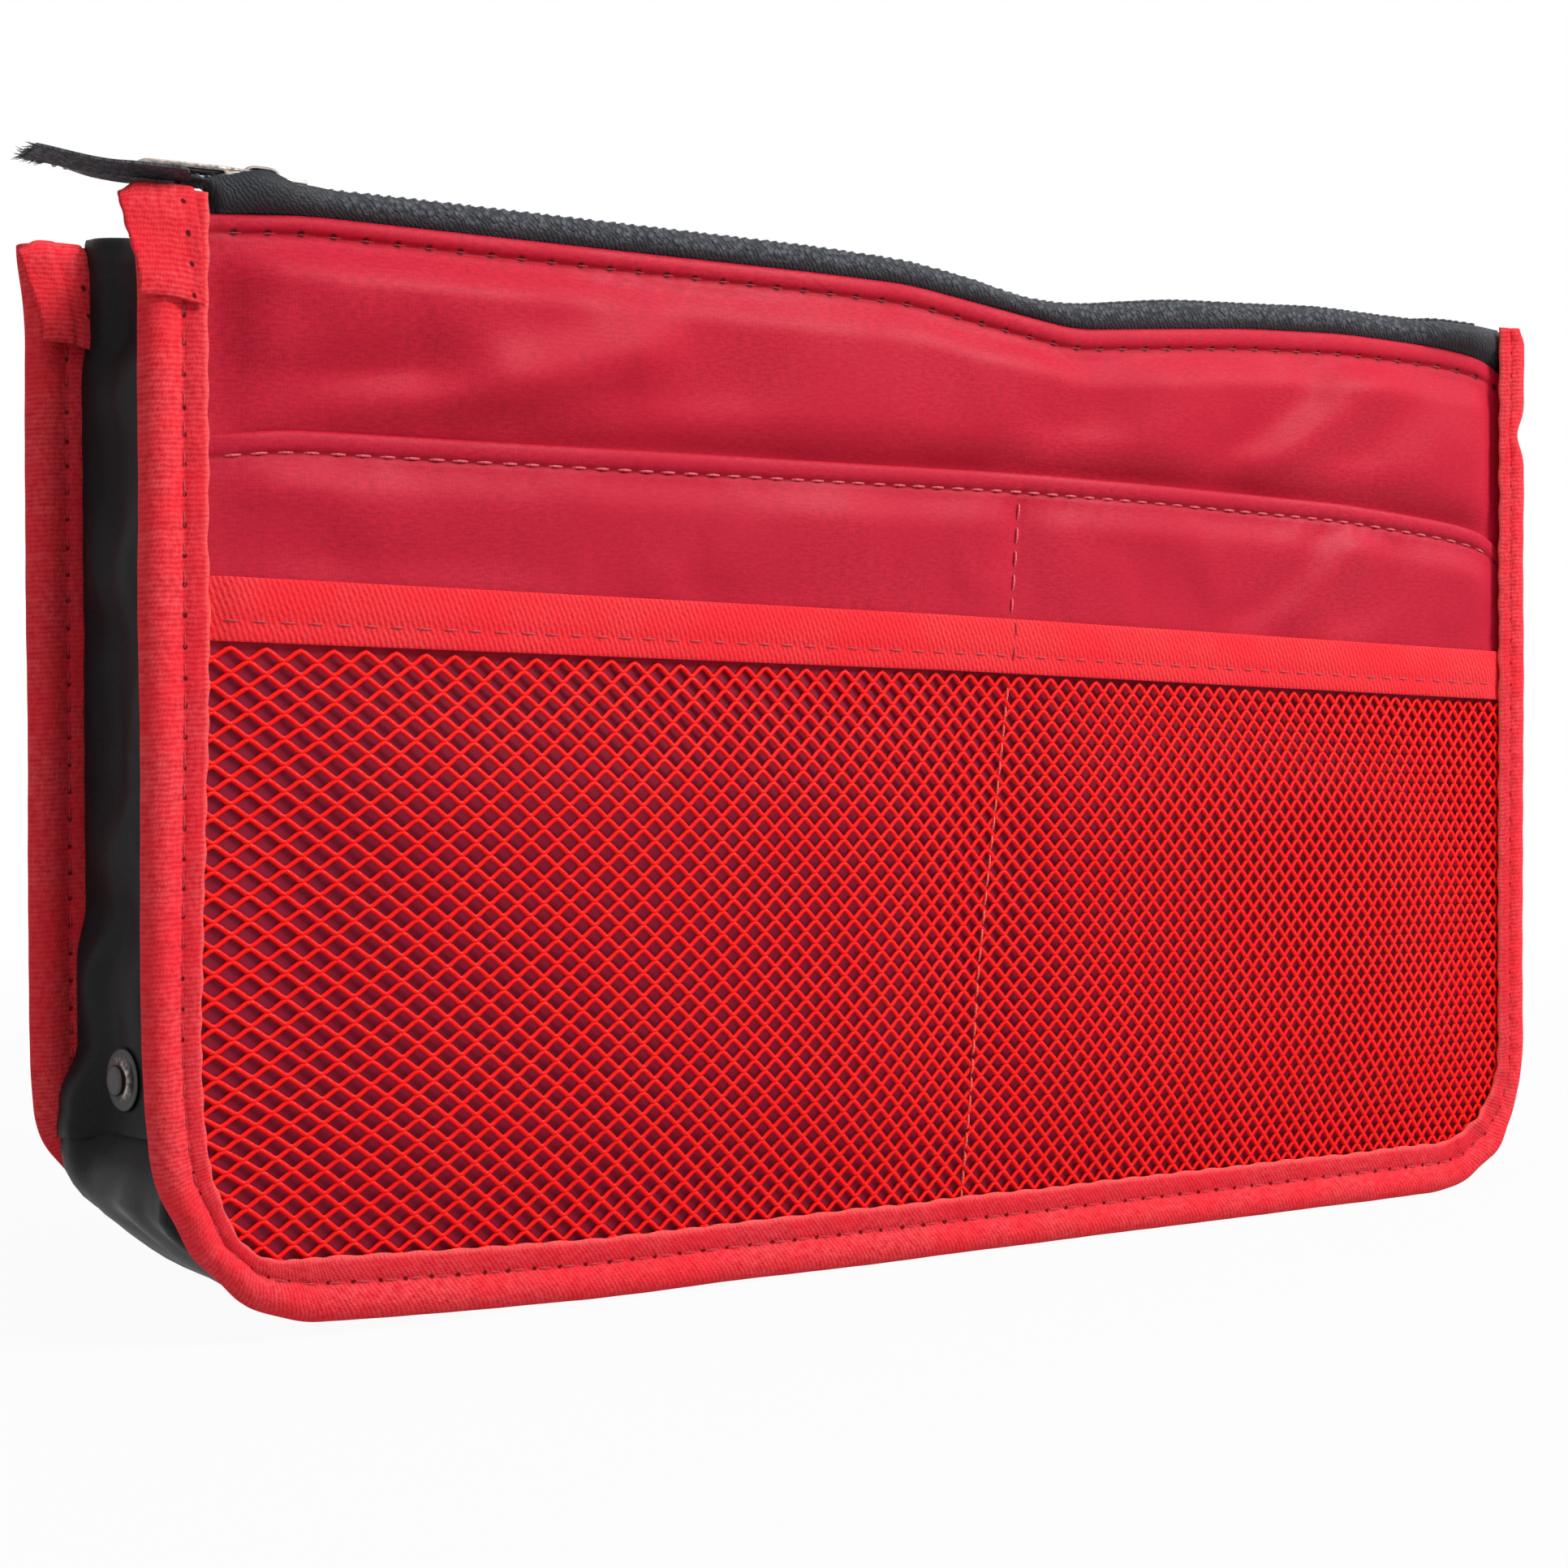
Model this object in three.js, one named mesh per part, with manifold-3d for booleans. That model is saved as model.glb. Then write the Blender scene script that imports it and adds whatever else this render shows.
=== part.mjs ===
// An organizer bag that stands by itself: two bound walls of sewn layers, joined by a gusset whose
// sides fold inwards, with a zipped pocket in the front wall.
// Millimetres, +Z up, front towards -Y, width along X. The origin is the middle of the underside.
import * as THREE from "three";
import { mergeVertices } from "three/addons/utils/BufferGeometryUtils.js";
import Module from "manifold-3d";

// Whole bag
const bagWidth = 300;
const bagHeight = 178.8;
const bagDepth = 57.3;
const cornerRadius = 29;

// Binding tape folded over each wall's edge
const bindingWidth = 10.5;
const bindingThickness = 5;
const bindingWall = 0.6;
const tapeEndLength = 18;
const tapeEndWidth = 6.8;
const tapeEndThickness = 1.2;

// Sewn layers of a wall
const layerInset = 1.5;
const layerGap = 0.25;
const clothThickness = 0.4;
const panelEdgeThickness = 0.5;
const panelPadding = 1.7;
const hemHeight = 10;

// Top edges: the drops are measured down from the binding's top, the pocket tops up from the floor
const panelTopDrop = 3.3;
const panelTopFall = 2.2;
const panelTopFallRun = 40;
const panelTopDip = 3;
const panelTopDipAt = 33;
const panelTopDipRun = 14;
const liningTopDrop = 2.9;
const slipPocketTop = 142.3;
const slipPocketFall = 8;
const dividerAt = 16;
const meshTapeTop = 119.3;
const meshTapeFall = 8.2;
const meshTapeHeight = 10;
const rearPocketTop = 128;

// Net of the front mesh pocket
const netThickness = 0.55;
const netPitchX = 22.4;
const netPitchZ = 14.4;
const netCord = 1;
const netMargin = 12;

// Zipped pocket between the front panel and the front lining
const zipPocketDepth = 6.8;
const rearLiningBow = 3;
const bowRun = 60;
const bowRise = 40;

// Slip pockets inside the bag
const innerPocketSide = 42;
const innerPocketBottom = 24;
const innerPocketTop = 118;
const innerPocketCorner = 12;
const pocketClearance = 0.3;
const innerPocketClearance = 0.6;

// Gusset
const seamInset = 9;
const seamClearance = 0.4;
const gussetThickness = 0.8;
const creaseAngle = THREE.MathUtils.degToRad(7);
const gussetTopDrop = 3.3;
const gussetTopDip = 2.7;
const plateGap = 0.15;
const baseSagStart = 0.62;

// Press studs
const snapHeight = 37.2;
const snapFromCrease = 11;
const snapRadius = 5.35;
const snapBossRadius = 2.65;
const snapBossHeight = 2.3;
const snapSocketHeight = 1.6;
const snapFlange = 0.85;
const snapSocketBevel = 0.7;
const snapStudBevel = 0.5;
const snapBossFit = 0.3;
const snapBossNeck = 0.2;
const snapBossRounding = 0.4;
const snapRing = 0.5;
const snapCapHeight = 1;
const snapShankRadius = 1.4;
const snapHoleClearance = 0.4;
const snapLift = 0.15;

// Zip chain: its middle lies zipSetback behind the middle of the front wall's flange, and its
// underside lies chainRise above the binding's top
const zipSetback = 2.6;
const chainRise = 0.4;
const toothThickness = 1.2;
const toothPitch = 3.6;
const toothLength = 1.1;
const spineWidth = 1.1;
const chainClearance = 0.3;
const zipRightInset = 3.5;
const zipTailReach = 16;
const zipTapeOverhang = 1.4;
const frontTapeDrop = 13;
const rearTapeShoulder = 1.7;
const tapeOffset = 0.3;
const tapeEndGap = 1;
const tapeGatherRun = 5;
const tapeGatherEnd = 6;
const frontFoldLift = 0.4;
const tailShoulderDrop = 0.1;
const tailEdgeDrop = 0.2;
const tailRise = 0.8;
const tailRiseRun = 3;
const tailTapeRise = 0.6;
const tailTapeWidth = 6.2;
const endStopLength = 2.3;

// Zip slider and pull
const sliderInset = 10.3;
const sliderLength = 14.4;
const sliderPlate = 0.6;
const sliderWing = 0.7;
const sliderWingDrop = 0.8;
const sliderWingClearance = 0.3;
const sliderFloor = 0.9;
const sliderEndInset = 0.7;
const postHalfWidth = 1.1;
const postLength = 2.4;
const sliderSplit = 1.9;
const sliderSplitRun = 6;
const sliderSplitStart = 1;
const bridgeHalfLength = 2.6;
const bridgeHeight = 2.1;
const bridgeWidth = 1.6;
const bridgeWall = 0.6;
const bridgeFootTaper = 0.2;
const bridgeTopTaper = 0.5;
const pullLength = 19.8;
const pullWidth = 5.2;
const pullThickness = 0.9;
const pullRingWall = 1;
const pullRingOpening = 3.4;
const pullShoulder = 2;
const pullEndHoleRadius = 1.2;

// How finely curves are cut into facets
const cornerSteps = 5;
const middleSteps = 9;
const snapSides = 16;
const holeSides = 8;
const panelRows = [0, 0.05, 0.1, 0.16, 0.23, 0.4, 0.6, 0.8, 1];
const innerPocketRows = [0, 0.06, 0.14, 0.24, 0.5, 1];
const baseRows = [-1, -0.86, -0.74, -baseSagStart, -0.3, 0, 0.3, baseSagStart, 0.74, 0.86, 1];

const wasm = await Module();
wasm.setup();

const panelTop = bagHeight - panelTopDrop;
const liningTop = bagHeight - liningTopDrop;
const gussetTop = bagHeight - gussetTopDrop;
const chainBottom = bagHeight + chainRise;
const innerEdge = bagWidth / 2 - bindingWidth;
const innerPocketHalf = bagWidth / 2 - innerPocketSide;
const zipRightEnd = innerEdge - zipRightInset;
const zipTailEnd = -bagWidth / 2 - zipTailReach;
const sliderAt = sliderInset - innerEdge;
const seamX = bagWidth / 2 - seamInset;
const seamY = bagDepth / 2 - bindingThickness / 2 - seamClearance;
const slotHalf = bindingThickness / 2 - bindingWall;
const netY = -slotHalf + layerGap + netThickness / 2;
const slipY = netY + netThickness / 2 + layerGap + clothThickness / 2;
const panelY = slipY + clothThickness / 2 + layerGap + panelEdgeThickness / 2;
const zipTapeY = panelY + panelEdgeThickness / 2 + layerGap + clothThickness / 2;
const liningY = zipTapeY + clothThickness + layerGap;
const chainTop = chainBottom + toothThickness;

const clamp01 = (t) => Math.min(1, Math.max(0, t));
const smooth = (t) => Math.sin((Math.PI / 2) * clamp01(t)) ** 2;
const between = (count) => Array.from({ length: count + 1 }, (_, i) => i / count);

// Meshes from points

function meshFrom(points, triangles) {
  const geometry = new THREE.BufferGeometry();
  const xyz = points.flatMap((p) => [p.x, p.y, p.z]);
  geometry.setAttribute("position", new THREE.Float32BufferAttribute(xyz, 3));
  geometry.setIndex(triangles.flat());
  return geometry;
}

// A sheet of cloth: a grid of points on its middle surface, thickened along its normals.
function thickSheet(grid, thicknessAt) {
  const lastColumn = grid.length - 1;
  const lastRow = grid[0].length - 1;
  const outer = [];
  const inner = [];
  const index = (i, j) => i * (lastRow + 1) + j;
  grid.forEach((column, i) => column.forEach((point, j) => {
    const along = grid[Math.min(i + 1, lastColumn)][j].clone().sub(grid[Math.max(i - 1, 0)][j]);
    const up = column[Math.min(j + 1, lastRow)].clone().sub(column[Math.max(j - 1, 0)]);
    const half = along.cross(up).setLength(thicknessAt(point) / 2);
    outer.push(point.clone().add(half));
    inner.push(point.clone().sub(half));
  }));
  const back = outer.length;
  const triangles = [];
  for (let i = 0; i < lastColumn; i++) {
    for (let j = 0; j < lastRow; j++) {
      const [a, b, c, d] = [index(i, j), index(i + 1, j), index(i + 1, j + 1), index(i, j + 1)];
      triangles.push([a, b, c], [a, c, d]);
      triangles.push([back + a, back + c, back + b], [back + a, back + d, back + c]);
    }
  }
  const rim = [];
  for (let i = 0; i < lastColumn; i++) rim.push(index(i, 0));
  for (let j = 0; j < lastRow; j++) rim.push(index(lastColumn, j));
  for (let i = lastColumn; i > 0; i--) rim.push(index(i, lastRow));
  for (let j = lastRow; j > 0; j--) rim.push(index(0, j));
  rim.forEach((p, k) => {
    const q = rim[(k + 1) % rim.length];
    triangles.push([q, p, back + p], [q, back + p, back + q]);
  });
  return meshFrom([...outer, ...inner], triangles);
}

// A closed section carried along a row of stations, each of which places the section's points.
function loft(section, stations) {
  const points = stations.flatMap((place) => section.map(place));
  const sides = section.length;
  const triangles = [];
  for (let i = 0; i < stations.length - 1; i++) {
    for (let j = 0; j < sides; j++) {
      const [a, b] = [i * sides + j, i * sides + ((j + 1) % sides)];
      triangles.push([a, b, b + sides], [a, b + sides, a + sides]);
    }
  }
  const last = (stations.length - 1) * sides;
  for (const [a, b, c] of THREE.ShapeUtils.triangulateShape(section, [])) {
    triangles.push([c, b, a], [last + a, last + b, last + c]);
  }
  return meshFrom(points, triangles);
}

function prism(outline, depth) {
  return new THREE.ExtrudeGeometry(new THREE.Shape(outline), { depth, bevelEnabled: false });
}

// Turns a prism drawn in X and Z, so that it stands up and its depth runs towards -Y.
function standing(outline, depth) {
  return prism(outline, depth).rotateX(Math.PI / 2);
}

function block(x0, x1, y0, y1, z0, z1) {
  const geometry = new THREE.BoxGeometry(x1 - x0, y1 - y0, z1 - z0);
  return geometry.translate((x0 + x1) / 2, (y0 + y1) / 2, (z0 + z1) / 2);
}

// Cutting and joining

function solid(geometry) {
  const bare = geometry.clone();
  bare.deleteAttribute("normal");
  bare.deleteAttribute("uv");
  const merged = mergeVertices(bare, 1e-4);
  const vertProperties = Float32Array.from(merged.attributes.position.array);
  const triVerts = Uint32Array.from(merged.index.array);
  return new wasm.Manifold(new wasm.Mesh({ numProp: 3, vertProperties, triVerts }));
}

function geometryOf(manifold) {
  const { vertProperties, triVerts, numProp } = manifold.getMesh();
  const geometry = new THREE.BufferGeometry();
  const xyz = Array.from(vertProperties).filter((_, i) => i % numProp < 3);
  geometry.setAttribute("position", new THREE.Float32BufferAttribute(xyz, 3));
  geometry.setIndex(Array.from(triVerts));
  return geometry;
}

const joined = (...geometries) => geometryOf(geometries.map(solid).reduce((a, b) => a.add(b)));
const cut = (body, ...tools) => geometryOf(tools.map(solid).reduce((a, b) => a.subtract(b), solid(body)));

// Layers of a wall: local Y runs from the wall's outside towards the inside of the bag

// Columns across a layer, close together round its two lower corners.
function columns(half, radius) {
  const turn = Math.PI / 2;
  const corner = between(cornerSteps).map((t) => half - radius + radius * Math.cos(t * turn));
  const straight = between(middleSteps).slice(1, -1).map((t) => (half - radius) * (2 * t - 1));
  return [...corner.map((x) => -x), ...straight, ...corner.reverse()];
}

// Heights of a curved layer's rows: one at the binding's inner edge, one at the hem, the rest between.
function curvedLevels(low, top) {
  const foot = Math.max(bindingWidth, low) + 1;
  const hem = top - hemHeight;
  const rise = panelRows.map((t) => foot + (hem - foot) * t);
  return [low, ...rise, top];
}

// A layer with a straight bottom, rounded lower corners and a top edge of any form.
function layer({ half, radius, bottom, top, middle, thickness, levels = (...ends) => ends }) {
  const grid = columns(half, radius).map((x) => {
    const overhang = Math.max(0, Math.abs(x) - (half - radius));
    const low = bottom + radius - Math.sqrt(Math.max(0, radius ** 2 - overhang ** 2));
    return levels(low, top(x)).map((z) => new THREE.Vector3(x, middle(x, z), z));
  });
  return thickSheet(grid, thickness);
}

const boundLayer = {
  half: bagWidth / 2 - layerInset,
  radius: cornerRadius - layerInset,
  bottom: layerInset,
};

// How far a layer bows out of its plane, which is nothing along the bound edges.
function bow(depth) {
  return (x, z) => {
    const fromSide = smooth((innerEdge - Math.abs(x)) / bowRun);
    const fromBottom = smooth((z - bindingWidth) / bowRise);
    return depth * fromSide * fromBottom;
  };
}

const frontBow = bow(zipPocketDepth);
const rearBow = bow(rearLiningBow);

function lining(bowAt) {
  return layer({
    ...boundLayer,
    top: () => liningTop,
    middle: (x, z) => liningY + bowAt(x, z),
    thickness: () => clothThickness,
    levels: curvedLevels,
  });
}

function innerPocket(bowAt) {
  const offset = liningY + clothThickness + innerPocketClearance;
  return layer({
    half: innerPocketHalf,
    radius: innerPocketCorner,
    bottom: innerPocketBottom,
    top: () => innerPocketTop,
    middle: (x, z) => offset + bowAt(x, z),
    thickness: () => clothThickness,
    levels: (low, high) => innerPocketRows.map((t) => low + (high - low) * t),
  });
}

// The outer panel is thin where it is bound and hemmed, and padded towards the pocket behind it.
function outerPanel(topAt) {
  const padding = (x, z) => {
    const hem = smooth((topAt(x) - hemHeight - z) / (2 * hemHeight));
    return bow(panelPadding)(x, z) * hem;
  };
  return layer({
    ...boundLayer,
    top: topAt,
    middle: (x, z) => panelY + padding(x, z) / 2,
    thickness: (p) => panelEdgeThickness + padding(p.x, p.z),
    levels: curvedLevels,
  });
}

// The front panel's top edge falls a little in the middle of its width, and dips beside that.
function frontPanelTop(x) {
  const dip = panelTopDip * Math.exp(-(((x - panelTopDipAt) / panelTopDipRun) ** 2));
  const fall = panelTopFall * smooth(x / panelTopFallRun + 0.5);
  return panelTop - fall - dip;
}

function slipPocket(topAt) {
  return layer({ ...boundLayer, top: topAt, middle: () => slipY, thickness: () => clothThickness });
}

function frontSlipTop(x) {
  const pastDivider = Math.max(0, (x - dividerAt) / (bagWidth / 2));
  return slipPocketTop - slipPocketFall * pastDivider ** 2;
}

const tapeTop = (x) => meshTapeTop - meshTapeFall * clamp01((x / innerEdge + 1) / 2);

function meshTape() {
  const grid = between(6).map((t) => {
    const x = boundLayer.half * (2 * t - 1);
    return [tapeTop(x) - meshTapeHeight, tapeTop(x)].map((z) => new THREE.Vector3(x, netY, z));
  });
  return thickSheet(grid, () => netThickness);
}

// The net's outline, drawn in by a margin, as points in X and Z.
function netOutline(inset) {
  const half = boundLayer.half - inset;
  const radius = Math.max(1, boundLayer.radius - inset);
  const lower = columns(half, radius).map((x) => {
    const overhang = Math.max(0, Math.abs(x) - (half - radius));
    const rise = radius - Math.sqrt(Math.max(0, radius ** 2 - overhang ** 2));
    return new THREE.Vector2(x, boundLayer.bottom + inset + rise);
  });
  const drop = meshTapeHeight + pocketClearance + Math.min(inset, netCord);
  const upper = [half, -half].map((x) => new THREE.Vector2(x, tapeTop(x) - drop));
  return [...lower, ...upper];
}

// Rhombs of air between crossing cords, cut at the border by the binding's line.
function meshNet() {
  const holes = [];
  const rowCount = Math.ceil(meshTapeTop / (netPitchZ / 2));
  const columnCount = Math.ceil(bagWidth / 2 / netPitchX);
  const halfX = netPitchX / 2 - netCord;
  const halfZ = netPitchZ / 2 - (netCord * netPitchZ) / netPitchX;
  for (let row = 0; row <= rowCount; row++) {
    for (let column = -columnCount; column <= columnCount; column++) {
      const x = (column + (row % 2) / 2) * netPitchX;
      const z = bindingWidth + (row * netPitchZ) / 2;
      const rhomb = [[-halfX, 0], [0, -halfZ], [halfX, 0], [0, halfZ]];
      holes.push(new THREE.Shape(rhomb.map(([dx, dz]) => new THREE.Vector2(x + dx, z + dz))));
    }
  }
  const through = { depth: 3 * netThickness, bevelEnabled: false };
  const air = new THREE.ExtrudeGeometry(holes, through);
  air.translate(0, 0, -netThickness).rotateX(Math.PI / 2);
  const window = standing(netOutline(netMargin), through.depth).translate(0, netThickness, 0);
  const cloth = standing(netOutline(0), netThickness);
  const gaps = solid(air).intersect(solid(window));
  return geometryOf(solid(cloth).subtract(gaps)).translate(0, netY + netThickness / 2, 0);
}

// Binding: a folded tape in the form of a channel, carried round the three sewn edges of a wall. At
// the top left its loose end is turned down on the side towards -Y.
function bindingTape() {
  const half = bindingThickness / 2;
  const round = bindingWall * 2;
  const section = [
    [0, half - round], [0, -half + round], [round / 3, -half + round / 3], [round, -half],
    [bindingWidth, -half], [bindingWidth, -half + bindingWall], [bindingWall, -half + bindingWall],
    [bindingWall, half - bindingWall], [bindingWidth, half - bindingWall], [bindingWidth, half],
    [round, half], [round / 3, half - round / 3],
  ].map(([inward, y]) => new THREE.Vector2(inward, y));
  const stations = bindingPath().map(({ x, z, angle }) => (p) => new THREE.Vector3(
    x - p.x * Math.cos(angle),
    p.y,
    z - p.x * Math.sin(angle),
  ));
  const left = -bagWidth / 2 + round;
  const sunk = half - bindingWall / 2;
  const proud = half + tapeEndThickness;
  const low = bagHeight - tapeEndLength;
  const turned = block(left, left + tapeEndWidth, -proud, -sunk, low, bagHeight);
  return joined(loft(section, stations), turned);
}

// The outer edge, from the top of the right side round the bottom to the top of the left side.
// Each station holds a point of the edge and the direction that points outwards there.
function bindingPath() {
  const corner = (middleX, from) => between(2 * cornerSteps).map((t) => {
    const angle = from - (t * Math.PI) / 2;
    const x = middleX + cornerRadius * Math.cos(angle);
    const z = cornerRadius + cornerRadius * Math.sin(angle);
    return { x, z, angle };
  });
  const middle = bagWidth / 2 - cornerRadius;
  return [
    { x: bagWidth / 2, z: bagHeight, angle: 0 },
    ...corner(middle, 0),
    ...corner(-middle, -Math.PI / 2),
    { x: -bagWidth / 2, z: bagHeight, angle: -Math.PI },
  ];
}

// Gusset base: the strip under the bag, sewn to both flanges at the seam line. It sags to the floor
// between them, and at both ends it takes the inward crease of the gusset's sides.
function gussetBase() {
  const radius = cornerRadius - seamInset;
  const middle = bagWidth / 2 - cornerRadius;
  const crease = seamY * Math.tan(creaseAngle);
  const corner = (x, from) => between(2 * cornerSteps).map((t) => (
    { x, angle: from + (t * Math.PI) / 2, sag: smooth(from === Math.PI ? t : 1 - t) }
  ));
  const floor = between(middleSteps).slice(1, -1).map((t) => (
    { x: middle * (2 * t - 1), angle: 1.5 * Math.PI, sag: 1 }
  ));
  const path = [...corner(-middle, Math.PI), ...floor, ...corner(middle, 1.5 * Math.PI)];
  const halfWidth = seamY + seamClearance - pocketClearance;
  const grid = path.map(({ x, angle, sag }) => baseRows.map((v) => {
    const fromSeam = 1 - Math.abs(v);
    const sagging = seamInset * smooth(fromSeam / (1 - baseSagStart));
    const creased = -crease * fromSeam;
    const reach = radius + sag * sagging + (1 - sag) * creased - gussetThickness / 2;
    const z = cornerRadius + reach * Math.sin(angle);
    return new THREE.Vector3(x + reach * Math.cos(angle), -v * halfWidth, z);
  }));
  return thickSheet(grid, () => gussetThickness);
}

// Gusset sides: each half is a plate from the seam to the crease. Its own X runs along the plate from
// the seam, and its own Y is the plate's normal, outwards where sense is 1 and inwards where it is -1.
const seamToCrease = seamY / Math.cos(creaseAngle);
const plateLength = Math.sqrt(seamToCrease ** 2 - gussetThickness ** 2);
const plateLean = creaseAngle + Math.atan(gussetThickness / plateLength);
const snapAlong = plateLength - snapFromCrease;

function gussetPlate(sense) {
  const outline = new THREE.Shape();
  const bottom = cornerRadius + pocketClearance;
  const end = plateLength - plateGap;
  const dipped = gussetTop - gussetTopDip;
  outline.moveTo(plateGap, bottom);
  outline.lineTo(end, bottom);
  outline.lineTo(end, dipped);
  outline.quadraticCurveTo(plateLength / 3, (gussetTop + dipped) / 2, plateGap, gussetTop);
  outline.closePath();
  const through = { depth: gussetThickness, bevelEnabled: false, curveSegments: cornerSteps };
  const plate = new THREE.ExtrudeGeometry(outline, through).rotateX(Math.PI / 2);
  plate.translate(0, sense > 0 ? gussetThickness : 0, 0);
  const holeRadius = snapShankRadius + snapHoleClearance;
  const hole = new THREE.CylinderGeometry(holeRadius, holeRadius, 4 * gussetThickness, snapSides);
  return cut(plate, hole.translate(snapAlong, 0, snapHeight));
}

// Press studs: turned parts about their own Y, which starts at the plate's outer face.
function turnedPart(profile) {
  return new THREE.LatheGeometry(profile.map(([r, y]) => new THREE.Vector2(r, y)), snapSides);
}

const shankEnd = snapLift / 2 - gussetThickness;
const shank = [[0, shankEnd], [snapShankRadius, shankEnd], [snapShankRadius, snapLift]];
const snapMouth = snapBossRadius + snapBossFit;

const snapSocket = () => turnedPart([
  ...shank,
  [snapRadius, snapLift],
  [snapRadius, snapFlange],
  [snapRadius - snapSocketBevel, snapSocketHeight],
  [snapBossRadius + snapRing, snapSocketHeight],
  [snapMouth, snapSocketHeight - snapBossFit],
  [snapMouth, snapFlange / 2],
  [0, snapFlange / 2],
]);

const snapStud = () => turnedPart([
  ...shank,
  [snapRadius, snapLift],
  [snapRadius, snapFlange / 2],
  [snapRadius - snapStudBevel, snapFlange],
  [snapBossRadius + snapRing, snapFlange],
  [snapBossRadius - snapBossNeck, snapFlange + snapBossFit],
  [snapBossRadius, snapBossHeight - snapBossRounding],
  [snapBossRadius - snapBossRounding, snapBossHeight],
  [0, snapBossHeight],
]);

const snapCap = () => {
  const face = -gussetThickness - snapLift;
  return turnedPart([
    [0, face - snapCapHeight], [snapRadius * 0.6, face - snapCapHeight * 0.9],
    [snapRadius, face - snapCapHeight * 0.35], [snapRadius, face], [0, face],
  ]);
};

// Zip: both halves part to pass the post inside the slider, and stay parted along the loose tail.
const sliderNose = sliderAt - sliderLength / 2;
const splitAt = (x) => sliderSplit * smooth((sliderAt + sliderSplitStart - x) / sliderSplitRun);
const riseAt = (x) => smooth((sliderNose - x) / tailRiseRun);

// One row of teeth on its spine. The front row has side -1 and the rear row has side 1. Distances w
// run across the chain from its middle, outwards.
function teeth(side) {
  const toothWidth = toothPitch / 2 - chainClearance;
  const root = toothLength / 2 + chainClearance / 2;
  const tip = root - toothLength;
  const outside = root + spineWidth;
  const first = zipTailEnd + (side > 0 ? toothPitch / 2 : 0);
  const count = Math.floor((zipRightEnd - first) / toothPitch);
  const points = [];
  const triangles = [];
  const face = (...corners) => {
    const start = points.length;
    for (const [x, w, level] of corners) {
      const y = zipSetback + side * (w + splitAt(x));
      const z = chainBottom + tailRise * riseAt(x) + level * toothThickness;
      points.push(new THREE.Vector3(x, y, z));
    }
    const order = side > 0 ? [0, 1, 2, 0, 2, 3] : [0, 2, 1, 0, 3, 2];
    triangles.push(order.map((k) => start + k));
  };
  const topAndBottom = (a, b, near, far) => {
    face([a, near, 1], [b, near, 1], [b, far, 1], [a, far, 1]);
    face([a, far, 0], [b, far, 0], [b, near, 0], [a, near, 0]);
  };
  const spine = (a, b) => {
    topAndBottom(a, b, root, outside);
    face([b, outside, 0], [a, outside, 0], [a, outside, 1], [b, outside, 1]);
  };
  const innerWall = (a, b, w) => face([a, w, 0], [b, w, 0], [b, w, 1], [a, w, 1]);
  const wallLeft = (x, near, far) => face([x, far, 0], [x, near, 0], [x, near, 1], [x, far, 1]);
  const wallRight = (x, near, far) => face([x, near, 0], [x, far, 0], [x, far, 1], [x, near, 1]);
  for (let i = 0; i < count; i++) {
    const a = first + i * toothPitch;
    const b = a + toothWidth;
    const next = i < count - 1 ? a + toothPitch : zipRightEnd;
    spine(a, b);
    spine(b, next);
    topAndBottom(a, b, tip, root);
    innerWall(a, b, tip);
    innerWall(b, next, root);
    wallLeft(a, tip, root);
    wallRight(b, tip, root);
  }
  wallLeft(first, root, outside);
  wallRight(zipRightEnd, root, outside);
  return mergeVertices(meshFrom(points, triangles), 1e-5);
}

// One half of the zip tape, side -1 at the front and 1 at the rear. It hangs from its row of teeth
// into the wall. Near the slider it is gathered up under the teeth, and in the tail it lies flat.
function zipTape(side) {
  const { lerp } = THREE.MathUtils;
  const atFront = side < 0;
  const spineMiddle = toothLength / 2 + chainClearance / 2 + spineWidth / 2;
  const upperY = zipSetback + side * (spineMiddle + tapeOffset);
  const upperZ = chainBottom - chainClearance;
  const halfShoulder = rearTapeShoulder / 2;
  const wallZ = atFront ? upperZ - frontTapeDrop : liningTop + pocketClearance;
  const foldZ = atFront ? panelTop + 2 * pocketClearance + clothThickness : upperZ - halfShoulder;
  const gatheredZ = foldZ - halfShoulder + (atFront ? frontFoldLift : 0);
  const tailStart = plateGap - innerEdge;
  const tailTurn = sliderNose - plateGap;
  const ends = [
    [zipTailEnd - zipTapeOverhang, tailStart, 4],
    [tailStart, sliderNose, 4],
    [sliderNose, sliderAt + tapeGatherEnd, 8],
    [sliderAt + tapeGatherEnd, innerEdge - tapeEndGap, middleSteps],
  ];
  const stations = ends.flatMap(([from, to, count], k) => (
    between(count).slice(Math.min(k, 1)).map((t) => lerp(from, to, t))
  ));
  const grid = stations.map((x) => {
    const lift = smooth((sliderAt - tapeEndGap - x) / tapeGatherRun);
    const spread = smooth((tailTurn - x) / (tailTurn - tailStart));
    const wallY = atFront ? zipTapeY : liningY + frontBow(x, liningTop);
    const topY = upperY + side * splitAt(x);
    const tailY = topY + side * tailTapeWidth;
    const foldY = atFront ? wallY : topY;
    const low = [lerp(lerp(wallY, foldY, lift), tailY, spread),
      lerp(lerp(wallZ, gatheredZ, lift), upperZ - tailEdgeDrop, spread)];
    const shoulder = [lerp(foldY, (topY + tailY) / 2, spread),
      lerp(foldZ, upperZ - tailShoulderDrop, spread)];
    const rise = tailTapeRise * riseAt(x);
    return [low, shoulder, [topY, upperZ]].map(([y, z]) => new THREE.Vector3(x, y, z + rise));
  });
  return thickSheet(grid, () => clothThickness);
}

function endStop() {
  const half = toothLength / 2 + spineWidth;
  const start = zipRightEnd + chainClearance;
  const end = start + endStopLength;
  return block(start, end, zipSetback - half, zipSetback + half, chainBottom, chainTop);
}

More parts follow.
